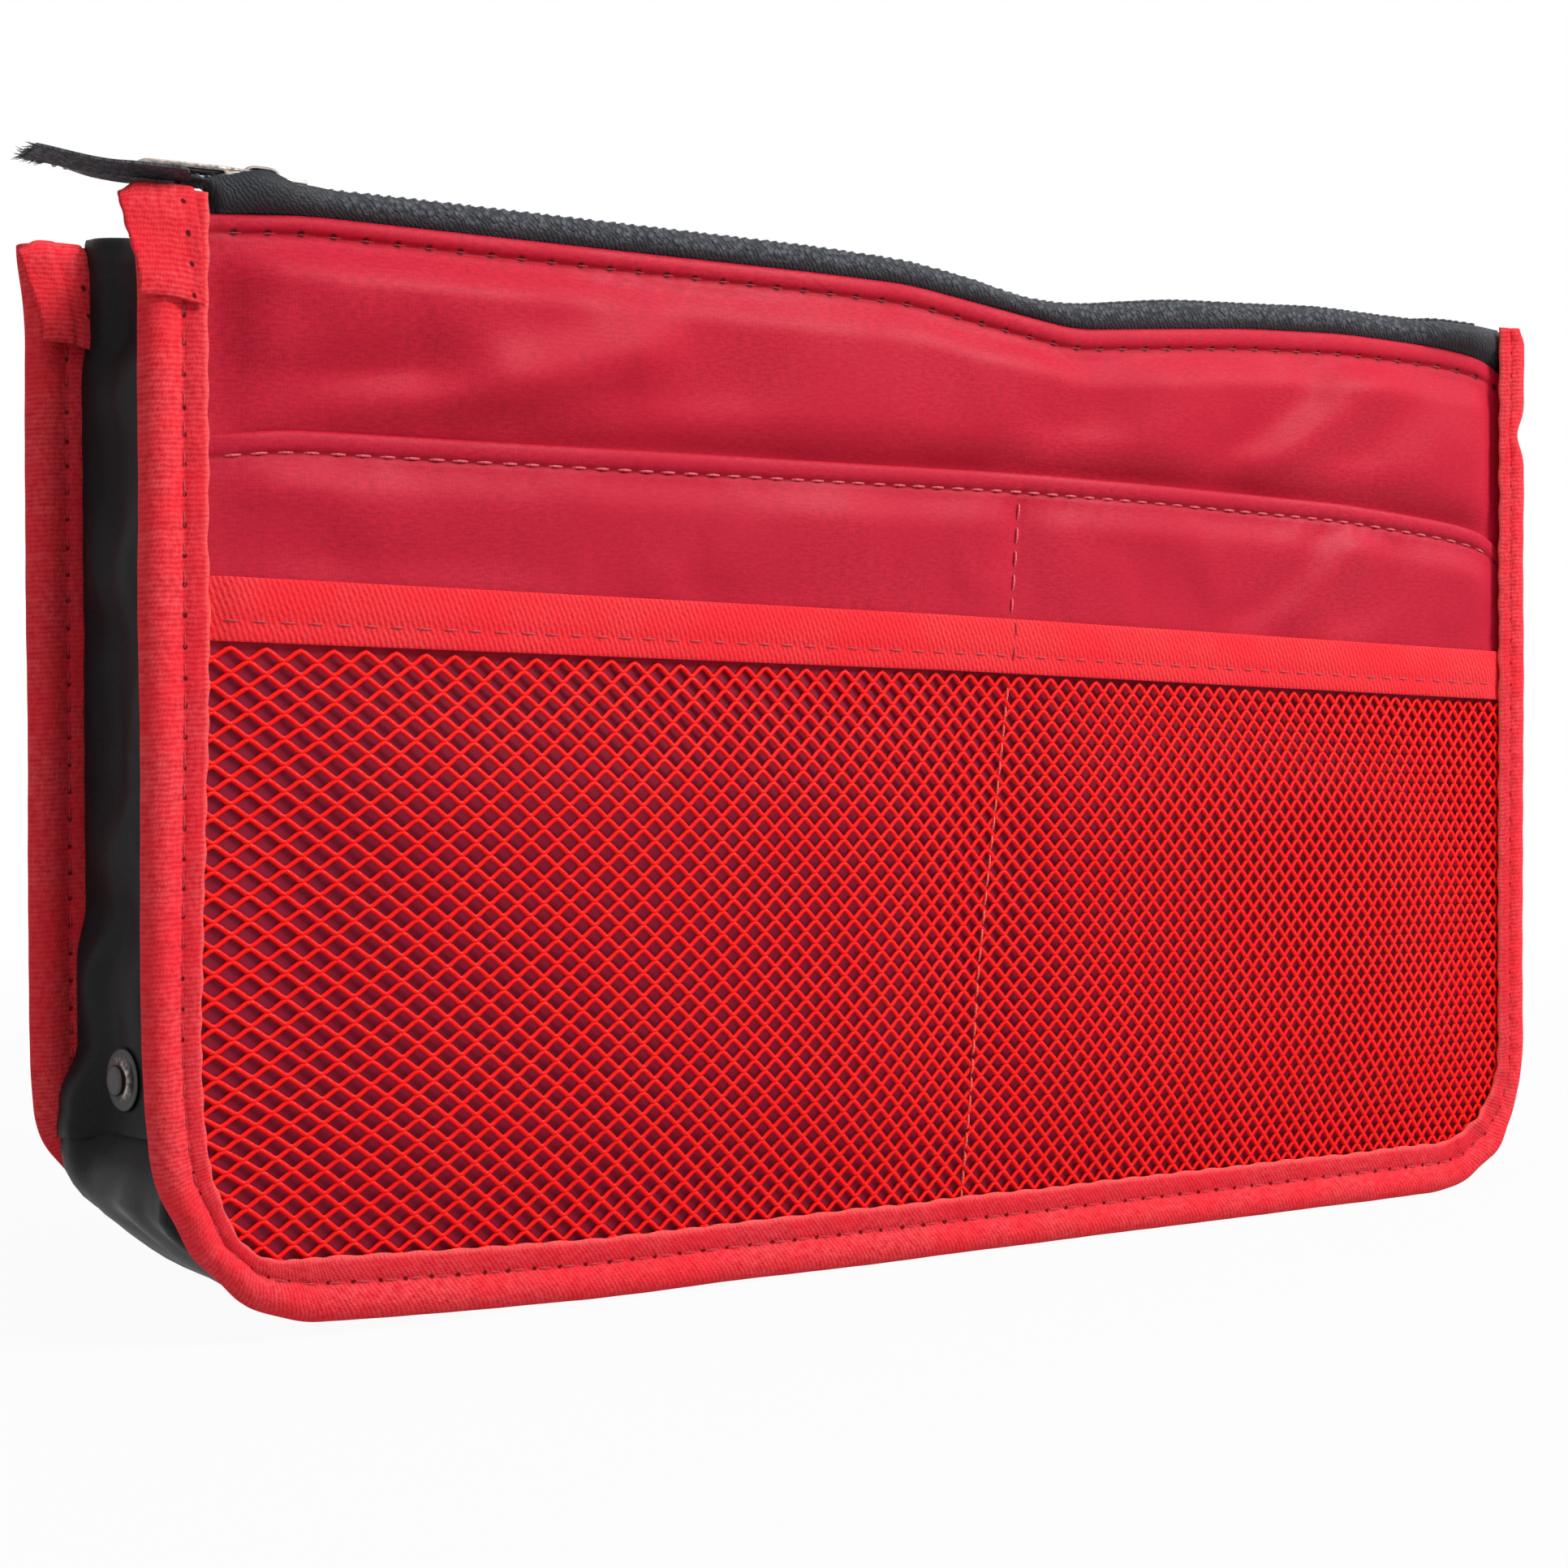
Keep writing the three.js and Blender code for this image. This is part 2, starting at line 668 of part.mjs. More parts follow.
// Slider, about its own origin at the middle of the chain: a plate over the teeth, a floor between the
// tapes, a post that joins them at the nose, wings outside the tapes, and a bridge for the pull.
const plateBottom = chainTop + chainClearance;
const plateTop = plateBottom + sliderPlate;
const pivotHeight = plateTop + (bridgeHeight - bridgeWall) / 2;

function slider() {
  const end = sliderLength / 2;
  const chainHalf = toothLength / 2 + chainClearance / 2 + spineWidth;
  const wingIn = chainHalf + chainClearance + sliderWingClearance;
  const stations = between(8).map((t) => end - sliderLength * t);
  const edge = (offset) => stations.map((x) => [x, wingIn + offset + splitAt(x + sliderAt)]);
  const wingLow = chainBottom - sliderWingDrop;
  const wings = [1, -1].map((side) => {
    const line = [...edge(0), ...edge(sliderWing).reverse()];
    const outline = line.map(([x, y]) => new THREE.Vector2(x, side * y));
    return prism(outline, plateTop - wingLow).translate(0, 0, wingLow);
  });
  const rim = edge(sliderWing);
  const outline = [...rim, ...rim.map(([x, y]) => [x, -y]).reverse()];
  const plate = prism(outline.map(([x, y]) => new THREE.Vector2(x, y)), sliderPlate);
  plate.translate(0, 0, plateBottom);
  const floorTop = chainBottom - chainClearance;
  const inset = end - sliderEndInset;
  const w = postHalfWidth;
  const floor = block(-inset, inset, -w, w, floorTop - sliderFloor, floorTop);
  const postLow = floorTop - sliderFloor / 2;
  const post = block(-inset, postLength - inset, -w, w, postLow, plateBottom + sliderPlate / 2);
  return joined(plate, ...wings, floor, post, sliderBridge());
}

// The bridge is an arch whose legs lean in a little towards its top.
function sliderBridge() {
  const foot = bridgeHalfLength;
  const top = foot - bridgeTopTaper;
  const footIn = foot - bridgeWall - bridgeFootTaper;
  const topIn = footIn - bridgeFootTaper;
  const low = plateTop - bridgeWall / 2;
  const high = plateTop + bridgeHeight;
  const ceiling = high - bridgeWall;
  const arch = [[-foot, low], [-top, high], [top, high], [foot, low], [footIn, low],
    [topIn, ceiling], [-topIn, ceiling], [-footIn, low]];
  const outline = arch.map(([x, z]) => new THREE.Vector2(x, z));
  return standing(outline, bridgeWidth).translate(0, bridgeWidth / 2, 0);
}

// Pull: a flat tab whose ring passes round the bridge. It hangs on the bar at its own origin.
function pull() {
  const bar = pullThickness / 2;
  const opening = bridgeWidth / 2 + chainClearance;
  const ringHalf = opening + pullRingWall;
  const tab = pullWidth / 2;
  const tabMiddle = tab - pullLength;
  const openingEnd = -bar - pullRingOpening;
  const neck = openingEnd - pullRingWall;
  const outline = new THREE.Shape();
  outline.moveTo(bar, -ringHalf);
  outline.lineTo(bar, ringHalf);
  outline.lineTo(neck, ringHalf);
  outline.lineTo(neck - pullShoulder, tab);
  outline.absarc(tabMiddle, 0, tab, Math.PI / 2, 1.5 * Math.PI);
  outline.lineTo(neck - pullShoulder, -tab);
  outline.lineTo(neck, -ringHalf);
  outline.closePath();
  const ring = [[-bar, -opening], [openingEnd, -opening], [openingEnd, opening], [-bar, opening]];
  const hole = between(holeSides).slice(1).map((t) => [
    tabMiddle + pullEndHoleRadius * Math.cos(2 * Math.PI * t),
    pullEndHoleRadius * Math.sin(-2 * Math.PI * t),
  ]);
  for (const loop of [ring, hole]) {
    const path = new THREE.Path();
    path.setFromPoints(loop.map(([x, y]) => new THREE.Vector2(x, y)));
    outline.holes.push(path);
  }
  const through = { depth: pullThickness, bevelEnabled: false, curveSegments: cornerSteps + 1 };
  return new THREE.ExtrudeGeometry(outline, through).translate(0, 0, -bar);
}

// Materials
function finish(color, roughness, metalness = 0) {
  return new THREE.MeshStandardMaterial({ color, roughness, metalness });
}

const redSatin = finish(0xc8233c, 0.5);
const redTwill = finish(0xf03241, 0.8);
const redGrosgrain = finish(0xff323c, 0.7);
const redNet = finish(0xff140f, 0.6);
const blackNylon = finish(0x212123, 0.6);
const blackTape = finish(0x32343a, 0.8);
const zipCoil = finish(0x2a2b30, 0.4);
const gunmetal = finish(0x4a4a4e, 0.35, 0.9);
const sliderMetal = finish(0x9a948c, 0.3, 0.9);

function piece(name, geometry, material) {
  const mesh = new THREE.Mesh(geometry, material);
  mesh.name = name;
  return mesh;
}

// Assembly
const bag = new THREE.Group();

const frontWall = new THREE.Group();
frontWall.position.y = -bagDepth / 2;
frontWall.add(
  piece("front_binding", bindingTape(), redTwill),
  piece("front_mesh_tape", meshTape(), redGrosgrain),
  piece("front_mesh_net", meshNet(), redNet),
  piece("front_slip_pocket", slipPocket(frontSlipTop), redSatin),
  piece("front_panel", outerPanel(frontPanelTop), redSatin),
  piece("front_lining", lining(frontBow), blackNylon),
  piece("front_inner_pocket", innerPocket(frontBow), blackNylon),
  piece("zip_tape_front", zipTape(-1), blackTape),
  piece("zip_tape_rear", zipTape(1), blackTape),
  piece("zip_teeth_front", teeth(-1), zipCoil),
  piece("zip_teeth_rear", teeth(1), zipCoil),
  piece("zip_end_stop", endStop(), zipCoil),
);

const zipSlider = piece("zip_slider", slider(), sliderMetal);
zipSlider.position.set(sliderAt, zipSetback, 0);
const zipPull = piece("zip_pull", pull(), gunmetal);
zipPull.position.set(sliderAt, zipSetback, pivotHeight);
frontWall.add(zipSlider, zipPull);

const rearWall = new THREE.Group();
rearWall.position.y = bagDepth / 2;
rearWall.rotation.z = Math.PI;
rearWall.add(
  piece("rear_slip_pocket", slipPocket(() => rearPocketTop), redSatin),
  piece("rear_panel", outerPanel(() => panelTop), redSatin),
  piece("rear_lining", lining(rearBow), blackNylon),
  piece("rear_inner_pocket", innerPocket(rearBow), blackNylon),
);
const rearBinding = piece("rear_binding", bindingTape(), redTwill);
rearBinding.position.y = bagDepth / 2;

bag.add(frontWall, rearWall, rearBinding, piece("gusset_base", gussetBase(), blackNylon));

// The four side plates. The front plates carry the sockets and the rear plates carry the studs.
for (const [sideName, signX] of [["left", -1], ["right", 1]]) {
  for (const [endName, signY] of [["front", -1], ["rear", 1]]) {
    const sense = signX * signY;
    const half = new THREE.Group();
    half.position.set(signX * seamX, signY * seamY, 0);
    half.rotation.z = Math.atan2(-signY * Math.cos(plateLean), -signX * Math.sin(plateLean));
    const name = `${sideName}_gusset_${endName}`;
    const fastener = endName === "front" ? snapSocket() : snapStud();
    const fastenerName = endName === "front" ? `${sideName}_snap_socket` : `${sideName}_snap_stud`;
    const snap = piece(fastenerName, fastener, gunmetal);
    const cap = piece(`${fastenerName}_cap`, snapCap(), gunmetal);
    for (const turned of [snap, cap]) {
      turned.position.set(snapAlong, sense * gussetThickness, snapHeight);
      turned.rotation.x = sense > 0 ? 0 : Math.PI;
    }
    half.add(piece(name, gussetPlate(sense), blackNylon), snap, cap);
    bag.add(half);
  }
}

export default bag;
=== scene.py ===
# %% [markdown]
# # An organizer bag, sewn in Blender
# The bag is two bound walls of thin cloth, a folding black gusset between them, and a zip along the
# front wall. Nothing in it is a block: every surface is a sheet with a thickness, a hem or a seam.
# This lesson makes each sheet as a grid of points, because a grid takes hems, puckers and folds in
# the place where the sewing machine puts them. All sizes are in millimetres until the last moment.

# %% Load the frame that the bag is sewn to
import math

import bpy
import numpy as np
from mathutils import Matrix, Vector, noise


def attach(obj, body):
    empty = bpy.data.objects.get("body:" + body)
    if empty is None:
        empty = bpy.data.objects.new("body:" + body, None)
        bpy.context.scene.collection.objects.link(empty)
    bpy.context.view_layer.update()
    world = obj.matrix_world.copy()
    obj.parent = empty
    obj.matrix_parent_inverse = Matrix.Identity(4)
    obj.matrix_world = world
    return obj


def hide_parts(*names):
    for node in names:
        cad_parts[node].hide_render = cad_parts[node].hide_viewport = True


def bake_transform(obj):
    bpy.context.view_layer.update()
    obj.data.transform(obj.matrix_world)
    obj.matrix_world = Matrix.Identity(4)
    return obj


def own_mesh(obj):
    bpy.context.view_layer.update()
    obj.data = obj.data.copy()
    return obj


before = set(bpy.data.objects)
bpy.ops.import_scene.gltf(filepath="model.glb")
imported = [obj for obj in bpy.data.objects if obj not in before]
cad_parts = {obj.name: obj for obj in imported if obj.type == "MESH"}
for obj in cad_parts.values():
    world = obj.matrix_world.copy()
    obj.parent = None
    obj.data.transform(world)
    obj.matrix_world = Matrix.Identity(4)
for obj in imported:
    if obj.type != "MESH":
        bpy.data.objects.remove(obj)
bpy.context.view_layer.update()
MM = 0.001

# %% [markdown]
# ## Camera first
# The camera stands where the photographer stood, low and to the left of the front wall, so that each
# piece can be judged in the picture from the start. A lens of 63 mm on a square frame gives the same
# convergence of the two long edges.

# %% Camera
EYE = Vector((-289.49, -434.33, 94.79)) * MM
YAW, PITCH, ROLL = 0.5613, -0.0186, -0.0023


def turned_frame(yaw, pitch, roll):
    """Right, up and forward directions of the camera as columns."""
    forward = Vector((math.sin(yaw) * math.cos(pitch), math.cos(yaw) * math.cos(pitch), math.sin(pitch)))
    level = Vector((math.cos(yaw), -math.sin(yaw), 0.0))
    upright = level.cross(forward)
    right = level * math.cos(roll) + upright * math.sin(roll)
    up = upright * math.cos(roll) - level * math.sin(roll)
    return Matrix((right, up, -forward)).transposed()


camera_data = bpy.data.cameras.new("photo_camera")
camera_data.lens = 63.0
camera_data.sensor_width = 36.0
camera_data.clip_start = 0.01
camera = bpy.data.objects.new("photo_camera", camera_data)
camera.matrix_world = Matrix.Translation(EYE) @ turned_frame(YAW, PITCH, ROLL).to_4x4()
bpy.context.scene.collection.objects.link(camera)
bpy.context.scene.camera = camera
print("camera is", round(EYE.length / MM), "mm from the bag's foot")

# %% [markdown]
# ## Helpers for sheets of cloth
# A sheet could be a plane with a Solidify modifier. Here its two faces and its rim are written at
# once, so the thickness can change along a hem, and each point keeps its place on the flat cloth in
# an attribute named cloth. The weave is drawn from that attribute, and so it turns with the fabric.

# %% Small tools for numbers


def smooth(t):
    t = np.clip(t, 0.0, 1.0)
    return t * t * (3 - 2 * t)


def bell(t):
    """A soft bump: 1 where t is 0, and almost nothing beyond 2 on either side."""
    return np.exp(-(t**2))


def joined(*parts):
    """One array of rows, such as points, from arrays of their parts, stretched to the same shape."""
    return np.stack(np.broadcast_arrays(*parts), axis=-1)


def headings(line):
    """Unit directions along a line of points."""
    ahead = np.gradient(line, axis=0)
    return ahead / np.linalg.norm(ahead, axis=1, keepdims=True)


def round_turn(count):
    """Evenly spaced angles of a full turn."""
    return 2 * np.pi * np.arange(count) / count


def span(low, high, step):
    """Evenly spaced values from low to high, about step apart."""
    return np.linspace(low, high, max(1, round((high - low) / step)) + 1)


def waver(points, size, seed):
    """Soft noise between -1 and 1 at each point, with features of the given size in mm."""
    flat = np.asarray(points, float).reshape(-1, np.shape(points)[-1])
    padded = np.zeros((len(flat), 3))
    padded[:, : flat.shape[1]] = flat
    values = [noise.noise(Vector(p) / size + Vector((seed, 2.0 * seed, -seed))) for p in padded]
    return np.reshape(values, np.shape(points)[:-1])


def hump(x, z, start, end, width, height):
    """A soft fold along a line: its height at each x and z."""
    line = np.subtract(end, start)
    length = np.hypot(*line)
    along = ((x - start[0]) * line[0] + (z - start[1]) * line[1]) / length
    aside = ((x - start[0]) * line[1] - (z - start[1]) * line[0]) / length
    ends = smooth((along + width) / (2.5 * width)) * smooth((length + width - along) / (2.5 * width))
    return height * ends * bell(aside / width)


# %% Meshes from points
scene_pieces = {}


def mesh_piece(name, points, faces, body, cloth=None, flat_faces=()):
    """A smooth mesh that rides on a body. The faces named in flat_faces keep crisp edges."""
    mesh = bpy.data.meshes.new(name)
    listed = faces.tolist() if isinstance(faces, np.ndarray) else faces
    mesh.from_pydata((np.asarray(points, float) * MM).tolist(), [], listed)
    smooth_flags = np.ones(len(mesh.polygons), bool)
    smooth_flags[list(flat_faces)] = False
    mesh.polygons.foreach_set("use_smooth", smooth_flags)
    if cloth is not None:
        layer = mesh.attributes.new("cloth", "FLOAT_VECTOR", "POINT")
        place = np.zeros((len(points), 3), np.float32)
        place[:, : np.shape(cloth)[1]] = cloth
        layer.data.foreach_set("vector", place.ravel())
    mesh.update()
    piece = bpy.data.objects.new(name, mesh)
    bpy.context.scene.collection.objects.link(piece)
    scene_pieces[name] = piece
    if body:
        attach(piece, body)
    return piece


def grid_faces(rows, columns, offset=0, flip=False):
    """Quads of a grid whose point (i, j) has number offset + i * columns + j."""
    i, j = np.meshgrid(np.arange(rows - 1), np.arange(columns - 1), indexing="ij")
    a = (offset + i * columns + j).ravel()
    quads = joined(a, a + columns, a + columns + 1, a + 1)
    return quads[:, ::-1] if flip else quads


def tube_faces(rings, sides, first=0):
    """Quads between closed rings of points that follow each other, the points numbered from first."""
    ring, side = np.meshgrid(np.arange(rings - 1), np.arange(sides), indexing="ij")
    a = (first + ring * sides + side).ravel()
    b = (first + ring * sides + (side + 1) % sides).ravel()
    return joined(a, a + sides, b + sides, b)


def turned_over(quads):
    return quads[:, [0, 3, 2, 1]]


def hexagon_caps(first, last):
    """Quads that close a six-sided tube, whose end rings begin at the points first and last."""
    caps = []
    for near, far in ((1, 2), (3, 4)):
        caps.append([first, first + near, first + far, first + far + 1])
        caps.append([last + far + 1, last + far, last + near, last])
    return caps


def normals_of(grid):
    along = np.gradient(grid, axis=0)
    up = np.gradient(grid, axis=1)
    normal = np.cross(along, up)
    return normal / np.maximum(np.linalg.norm(normal, axis=2, keepdims=True), 1e-9)


def sheet_piece(name, grid, thickness, body, cloth=None):
    """A sheet of cloth round a grid of middle points. Thickness is one number or one per point."""
    rows, columns = grid.shape[:2]
    half = np.broadcast_to(thickness, (rows, columns))[..., None] / 2
    normal = normals_of(grid)
    points = np.concatenate([(grid + normal * half).reshape(-1, 3), (grid - normal * half).reshape(-1, 3)])
    back = rows * columns
    number = np.arange(back).reshape(rows, columns)
    rim = np.concatenate([number[:-1, 0], number[-1, :-1], number[:0:-1, -1], number[0, :0:-1]])
    after = np.roll(rim, -1)
    rim_faces = joined(after, rim, back + rim, back + after)
    faces = np.concatenate([grid_faces(rows, columns), grid_faces(rows, columns, back, True), rim_faces])
    flat = cloth if cloth is not None else grid[..., [0, 2]]
    flat = np.concatenate([flat.reshape(-1, np.shape(flat)[-1])] * 2)
    rim_numbers = range(len(faces) - len(rim_faces), len(faces))
    return mesh_piece(name, points, faces, body, flat, rim_numbers)


print("helpers ready")

# %% [markdown]
# ## Helpers for sewing thread
# Each stitch is a short capsule that dives into the cloth at both ends. One object holds a whole row,
# since the row is one thread. A row follows any line of points and a direction that points out.

# %% Stitches
STITCH_RINGS = ((0.0, 0.15), (0.12, 0.75), (0.5, 1.0), (0.88, 0.75), (1.0, 0.15))


def along_line(line, distances, values):
    """Values that are given at a line's points, read at distances along the line."""
    steps = np.linalg.norm(np.diff(line, axis=0), axis=1)
    run = np.concatenate([[0.0], np.cumsum(steps)])
    return np.stack([np.interp(distances, run, column) for column in np.transpose(values)], axis=1)


def stitch_row(name, lines, body, pitch, radius=0.22, share=0.72, lift=0.12):
    """Rows of stitches along lines, each a pair of point and outward direction arrays."""
    sides, rings = 6, len(STITCH_RINGS)
    points, faces = [], []
    for line, outward in lines:
        total = np.linalg.norm(np.diff(line, axis=0), axis=1).sum()
        for k in range(int(total / pitch)):
            shift = 0.08 * pitch * noise.noise(Vector((1.0, 0.7 * k, 0.3)))
            start = (k + (1 - share) / 2) * pitch + shift
            spots = np.array([start + share * pitch * t for t, _ in STITCH_RINGS])
            centre = along_line(line, spots, line)
            up = along_line(line, spots, outward)
            up /= np.linalg.norm(up, axis=1, keepdims=True)
            aside = np.cross(headings(centre), up)
            first = len(points)
            for r, (_, full) in enumerate(STITCH_RINGS):
                sink = lift - (1 - full) * (radius + lift) * 1.3
                for s in range(sides):
                    turn = 2 * math.pi * s / sides
                    ring = aside[r] * math.cos(turn) + up[r] * math.sin(turn)
                    points.append(centre[r] + up[r] * sink + ring * radius * full)
            faces.extend(tube_faces(rings, sides, first).tolist())
            faces.extend(hexagon_caps(first, first + (rings - 1) * sides))
    return mesh_piece(name, points, faces, body)


print("stitch helper ready")

# %% [markdown]
# ## The two walls as functions
# A wall is a stack of layers that touch but never cross. The simplest way to keep them apart is to
# write each layer's depth as a function of its place, and to let the others ask for it. Depth counts
# from the middle of the wall's bound edge towards the inside of the bag, so outwards is negative.

# %% Sizes of a wall
HALF_WIDTH, HEIGHT, FLANGE_Y = 150.0, 178.8, 28.65
LAYER_HALF, LAYER_FOOT, LAYER_RADIUS = 148.5, 1.5, 27.5
INNER_EDGE = 139.5
NET_DEPTH, SLIP_DEPTH, PANEL_DEPTH, TAPE_DEPTH, LINING_DEPTH = -1.38, -0.65, 0.05, 0.75, 1.4


def drawn_in(x, z, size, height, lift):
    """Both walls were sewn tight round their lower left corners, which pulls these in and up."""
    x, z = np.asarray(x, float), np.asarray(z, float)
    drawn = size * np.exp(-((x + 141.5) ** 2 + (z - height) ** 2) / 290)
    raised = lift * np.clip((-75 - x) / 46, 0, 1) * (1 - smooth((z - 5) / 45))
    return x + 0.7 * drawn, z + 0.7 * 8.5 / height * drawn + raised


def front_place(x, depth, z):
    """A point of the front wall, whose outside faces -Y. Its right edge was trimmed narrower."""
    x, z = drawn_in(x, z, 3.4, 17.0, 1.6)
    x = x - 2.4 * smooth((x - 139.5) / 9)
    return joined(x, depth - FLANGE_Y, z)


def straight(x, depth, z):
    """A point of the rear wall's edge, seen from the same side as the front wall."""
    x, z = drawn_in(x, z, 5.0, 8.5, 1.6)
    return joined(x, FLANGE_Y + depth, z)


def rear_place(x, depth, z):
    """A point of the rear wall, which is the front wall turned half round."""
    return straight(-np.asarray(x), -np.asarray(depth), z)


def curve(*points):
    """A function that runs through points given as (x, value)."""
    known = np.array(points, float)

    def value(x):
        # the mean over a few millimetres, which rounds the corners of the straight reading
        return sum(np.interp(x + step, known[:, 0], known[:, 1]) for step in (-4, -2, 0, 2, 4)) / 5

    return value


panel_top = curve((-150, 174.4), (-139, 174.7), (-124, 176), (-28, 175.4), (-8, 175), (14, 172),
                  (30, 169.8), (48, 171.3), (72, 173.2), (97, 174.1), (112, 173.7), (127, 173.1),
                  (138, 171.4), (142, 169.2), (150, 164))
slip_top = curve((-150, 140.2), (-139.6, 140.7), (-127, 142.2), (16, 142.3), (45, 141.7), (95, 140.1),
                 (110.5, 138.9), (126, 137.4), (134.7, 135.9), (140, 133.9), (143, 131), (150, 124))
mesh_tape_top = curve((-150, 119.4), (0, 116), (150, 111))
divider = curve((-10, -1), (8.8, 2.2), (50.7, 5.7), (104, 13), (116, 14.5), (142, 16.6))


def layer_foot(x, inset=0.0):
    """Lowest point of a bound layer at x, with its rounded lower corners."""
    half, radius = LAYER_HALF - inset, LAYER_RADIUS - inset
    over = np.maximum(0.0, np.abs(x) - (half - radius))
    return LAYER_FOOT + inset + radius - np.sqrt(np.maximum(0.0, radius**2 - over**2))


def corner_columns(half, step, corner_steps=14):
    """Places across a layer that crowd where its lower corners turn."""
    turn = np.linspace(0, math.pi / 2, corner_steps)
    corner = half - LAYER_RADIUS + LAYER_RADIUS * np.cos(turn)
    middle = span(-(half - LAYER_RADIUS), half - LAYER_RADIUS, step)
    return np.unique(np.round(np.concatenate([-corner, middle, corner]), 4))


def inside_seams(x, z, run=12.0):
    """0 at the bound edges of a wall and 1 well inside them."""
    side = smooth((INNER_EDGE - 1 - np.abs(x)) / run)
    foot = smooth((z - layer_foot(x, 9.0)) / run)
    return side * foot


print("front panel is", float(np.round(panel_top(30.0), 1)), "mm high in its dip")

# %% [markdown]
# ## Folds of the satin
# The photo shows a handful of soft diagonal folds, where the cloth is pulled from the corners of the
# zip. They could be sculpted, but listing each as a line with a width and a height keeps them
# repeatable. A cloth simulation then relaxes the sheets, which adds the small folds near the seams.

# %% Folds and their relaxing
PANEL_FOLDS = (
    ((-138, 143), (-96, 154), 6.5, 3.4), ((-124, 140), (-58, 160.5), 5.6, -2.4),
    ((-96, 141), (-34, 157), 7.5, 0.8), ((-128, 162), (-70, 170), 6.0, -0.6),
    ((-40, 143), (-4, 156), 9.0, -0.5), ((17, 142), (42, 162), 8.0, 1.5),
    ((2, 146), (24, 168), 9.0, -0.9), ((38, 142), (60, 160), 8.0, -0.7),
    ((58, 141), (92, 165), 5.5, 1.5), ((66, 140), (110, 168), 6.5, -1.6),
    ((84, 141), (124, 166), 6.5, 1.1), ((106, 141), (136, 160), 8.0, -0.9),
    ((-139, 168), (-122, 158), 5.0, 0.8), ((124, 168), (138, 152), 6.0, 0.8),
)
RELAXING_FRAMES = 14
SLIP_FOLDS = (
    ((66, 110), (96, 136), 4.6, 1.3), ((74, 110), (104, 137), 5.4, -1.4),
    ((92, 112), (118, 134), 6.0, 0.8), ((-137, 137), (-104, 128), 6.0, -0.9),
    ((-70, 118), (-10, 133), 9.0, -0.5), ((124, 114), (137, 128), 4.0, -0.9),
    ((22, 137), (58, 121), 8.0, 0.5), ((-130, 121), (-80, 119), 6.0, 0.5),
)


def folds(x, z, lines):
    return sum(hump(x, z, *line) for line in lines)


def relaxed(grid, held, slack, cap):
    """Lets a coarse sheet settle as cloth between its held points, and gives how far each point moved.
    """
    rows, columns = grid.shape[:2]
    sheet = mesh_piece("relaxing", grid.reshape(-1, 3), grid_faces(rows, columns), None)
    group = sheet.vertex_groups.new(name="held")
    group.add([int(k) for k in np.flatnonzero(held.ravel())], 1.0, "REPLACE")
    cloth = sheet.modifiers.new("Cloth", "CLOTH")
    cloth.settings.quality = 6
    cloth.settings.mass = 0.1
    cloth.settings.tension_stiffness = 12
    cloth.settings.compression_stiffness = 12
    cloth.settings.shear_stiffness = 4
    cloth.settings.bending_stiffness = 0.05
    cloth.settings.vertex_group_mass = "held"
    cloth.settings.shrink_min = -slack
    cloth.settings.effector_weights.gravity = 0.0
    cloth.collision_settings.use_collision = False
    for number in range(1, RELAXING_FRAMES + 1):
        bpy.context.scene.frame_set(number)
    settled = sheet.evaluated_get(bpy.context.evaluated_depsgraph_get()).to_mesh()
    after = np.array([v.co for v in settled.vertices]).reshape(grid.shape) / MM
    bpy.context.scene.frame_set(1)
    del scene_pieces["relaxing"]
    bpy.data.objects.remove(sheet)
    moved = after - grid
    size = np.linalg.norm(moved, axis=2, keepdims=True)
    return moved * np.minimum(1.0, cap / np.maximum(size, 1e-6))


def read_coarse(table, first, second, u, v):
    """Reads a coarse table of vectors, given at even values first and second, smoothly at finer u and v."""
    ways = []
    for values, at in ((first, u), (second, v)):
        place = np.clip((at - values[0]) / (values[1] - values[0]), 0, len(values) - 1.001)
        cell = place.astype(int)
        t = place - cell
        shares = ((1 - t) ** 3 / 6, (3 * t**3 - 6 * t**2 + 4) / 6, (3 * (t + t**2 - t**3) + 1) / 6, t**3 / 6)
        ways.append([(np.clip(cell + k - 1, 0, len(values) - 1), share) for k, share in enumerate(shares)])
    return sum(table[i, j] * (a * b)[..., None] for i, a in ways[0] for j, b in ways[1])


# %% Depth of each outer layer of the front wall


def panel_hem(x):
    """Height of the panel's hem, which the sewer let grow from left to right."""
    return np.interp(x, [-150, -90, 0, 90, 150], [2.6, 3.0, 3.4, 3.9, 3.6])


SLIP_HEM = 3.3
PANEL_PITCH, SLIP_PITCH = 5.5, 4.3


def inside_front_seams(x, z):
    """As inside_seams, for the satin in front, which the right seam holds flatter than the left one."""
    return inside_seams(x, z, np.where(x > 0, 4.5, 9.0))


def panel_depth(x, z):
    """The panel's belly stands out most below its hem, and slopes back into the pocket mouth below."""
    over, under = z - slip_top(x), panel_top(x) - panel_hem(x) - z
    sides = inside_front_seams(x, z)
    rise = 0.55 * smooth((over + 1) / 9) + 0.45 * smooth((over + 2) / 27)
    fuller = 1.8 * smooth((-55 - x) / 55)
    belly = rise * smooth(under / 8) * (3.4 + fuller + 0.5 * np.sin(x / 31.0))
    mouth = 1.1 * smooth((x + 105) / 50) * bell((over - 0.5) / 3.0)
    free = smooth((over - 1) / 10) * smooth(under / 6)
    return PANEL_DEPTH + sides * (mouth - belly + free * folds(x, z, PANEL_FOLDS))


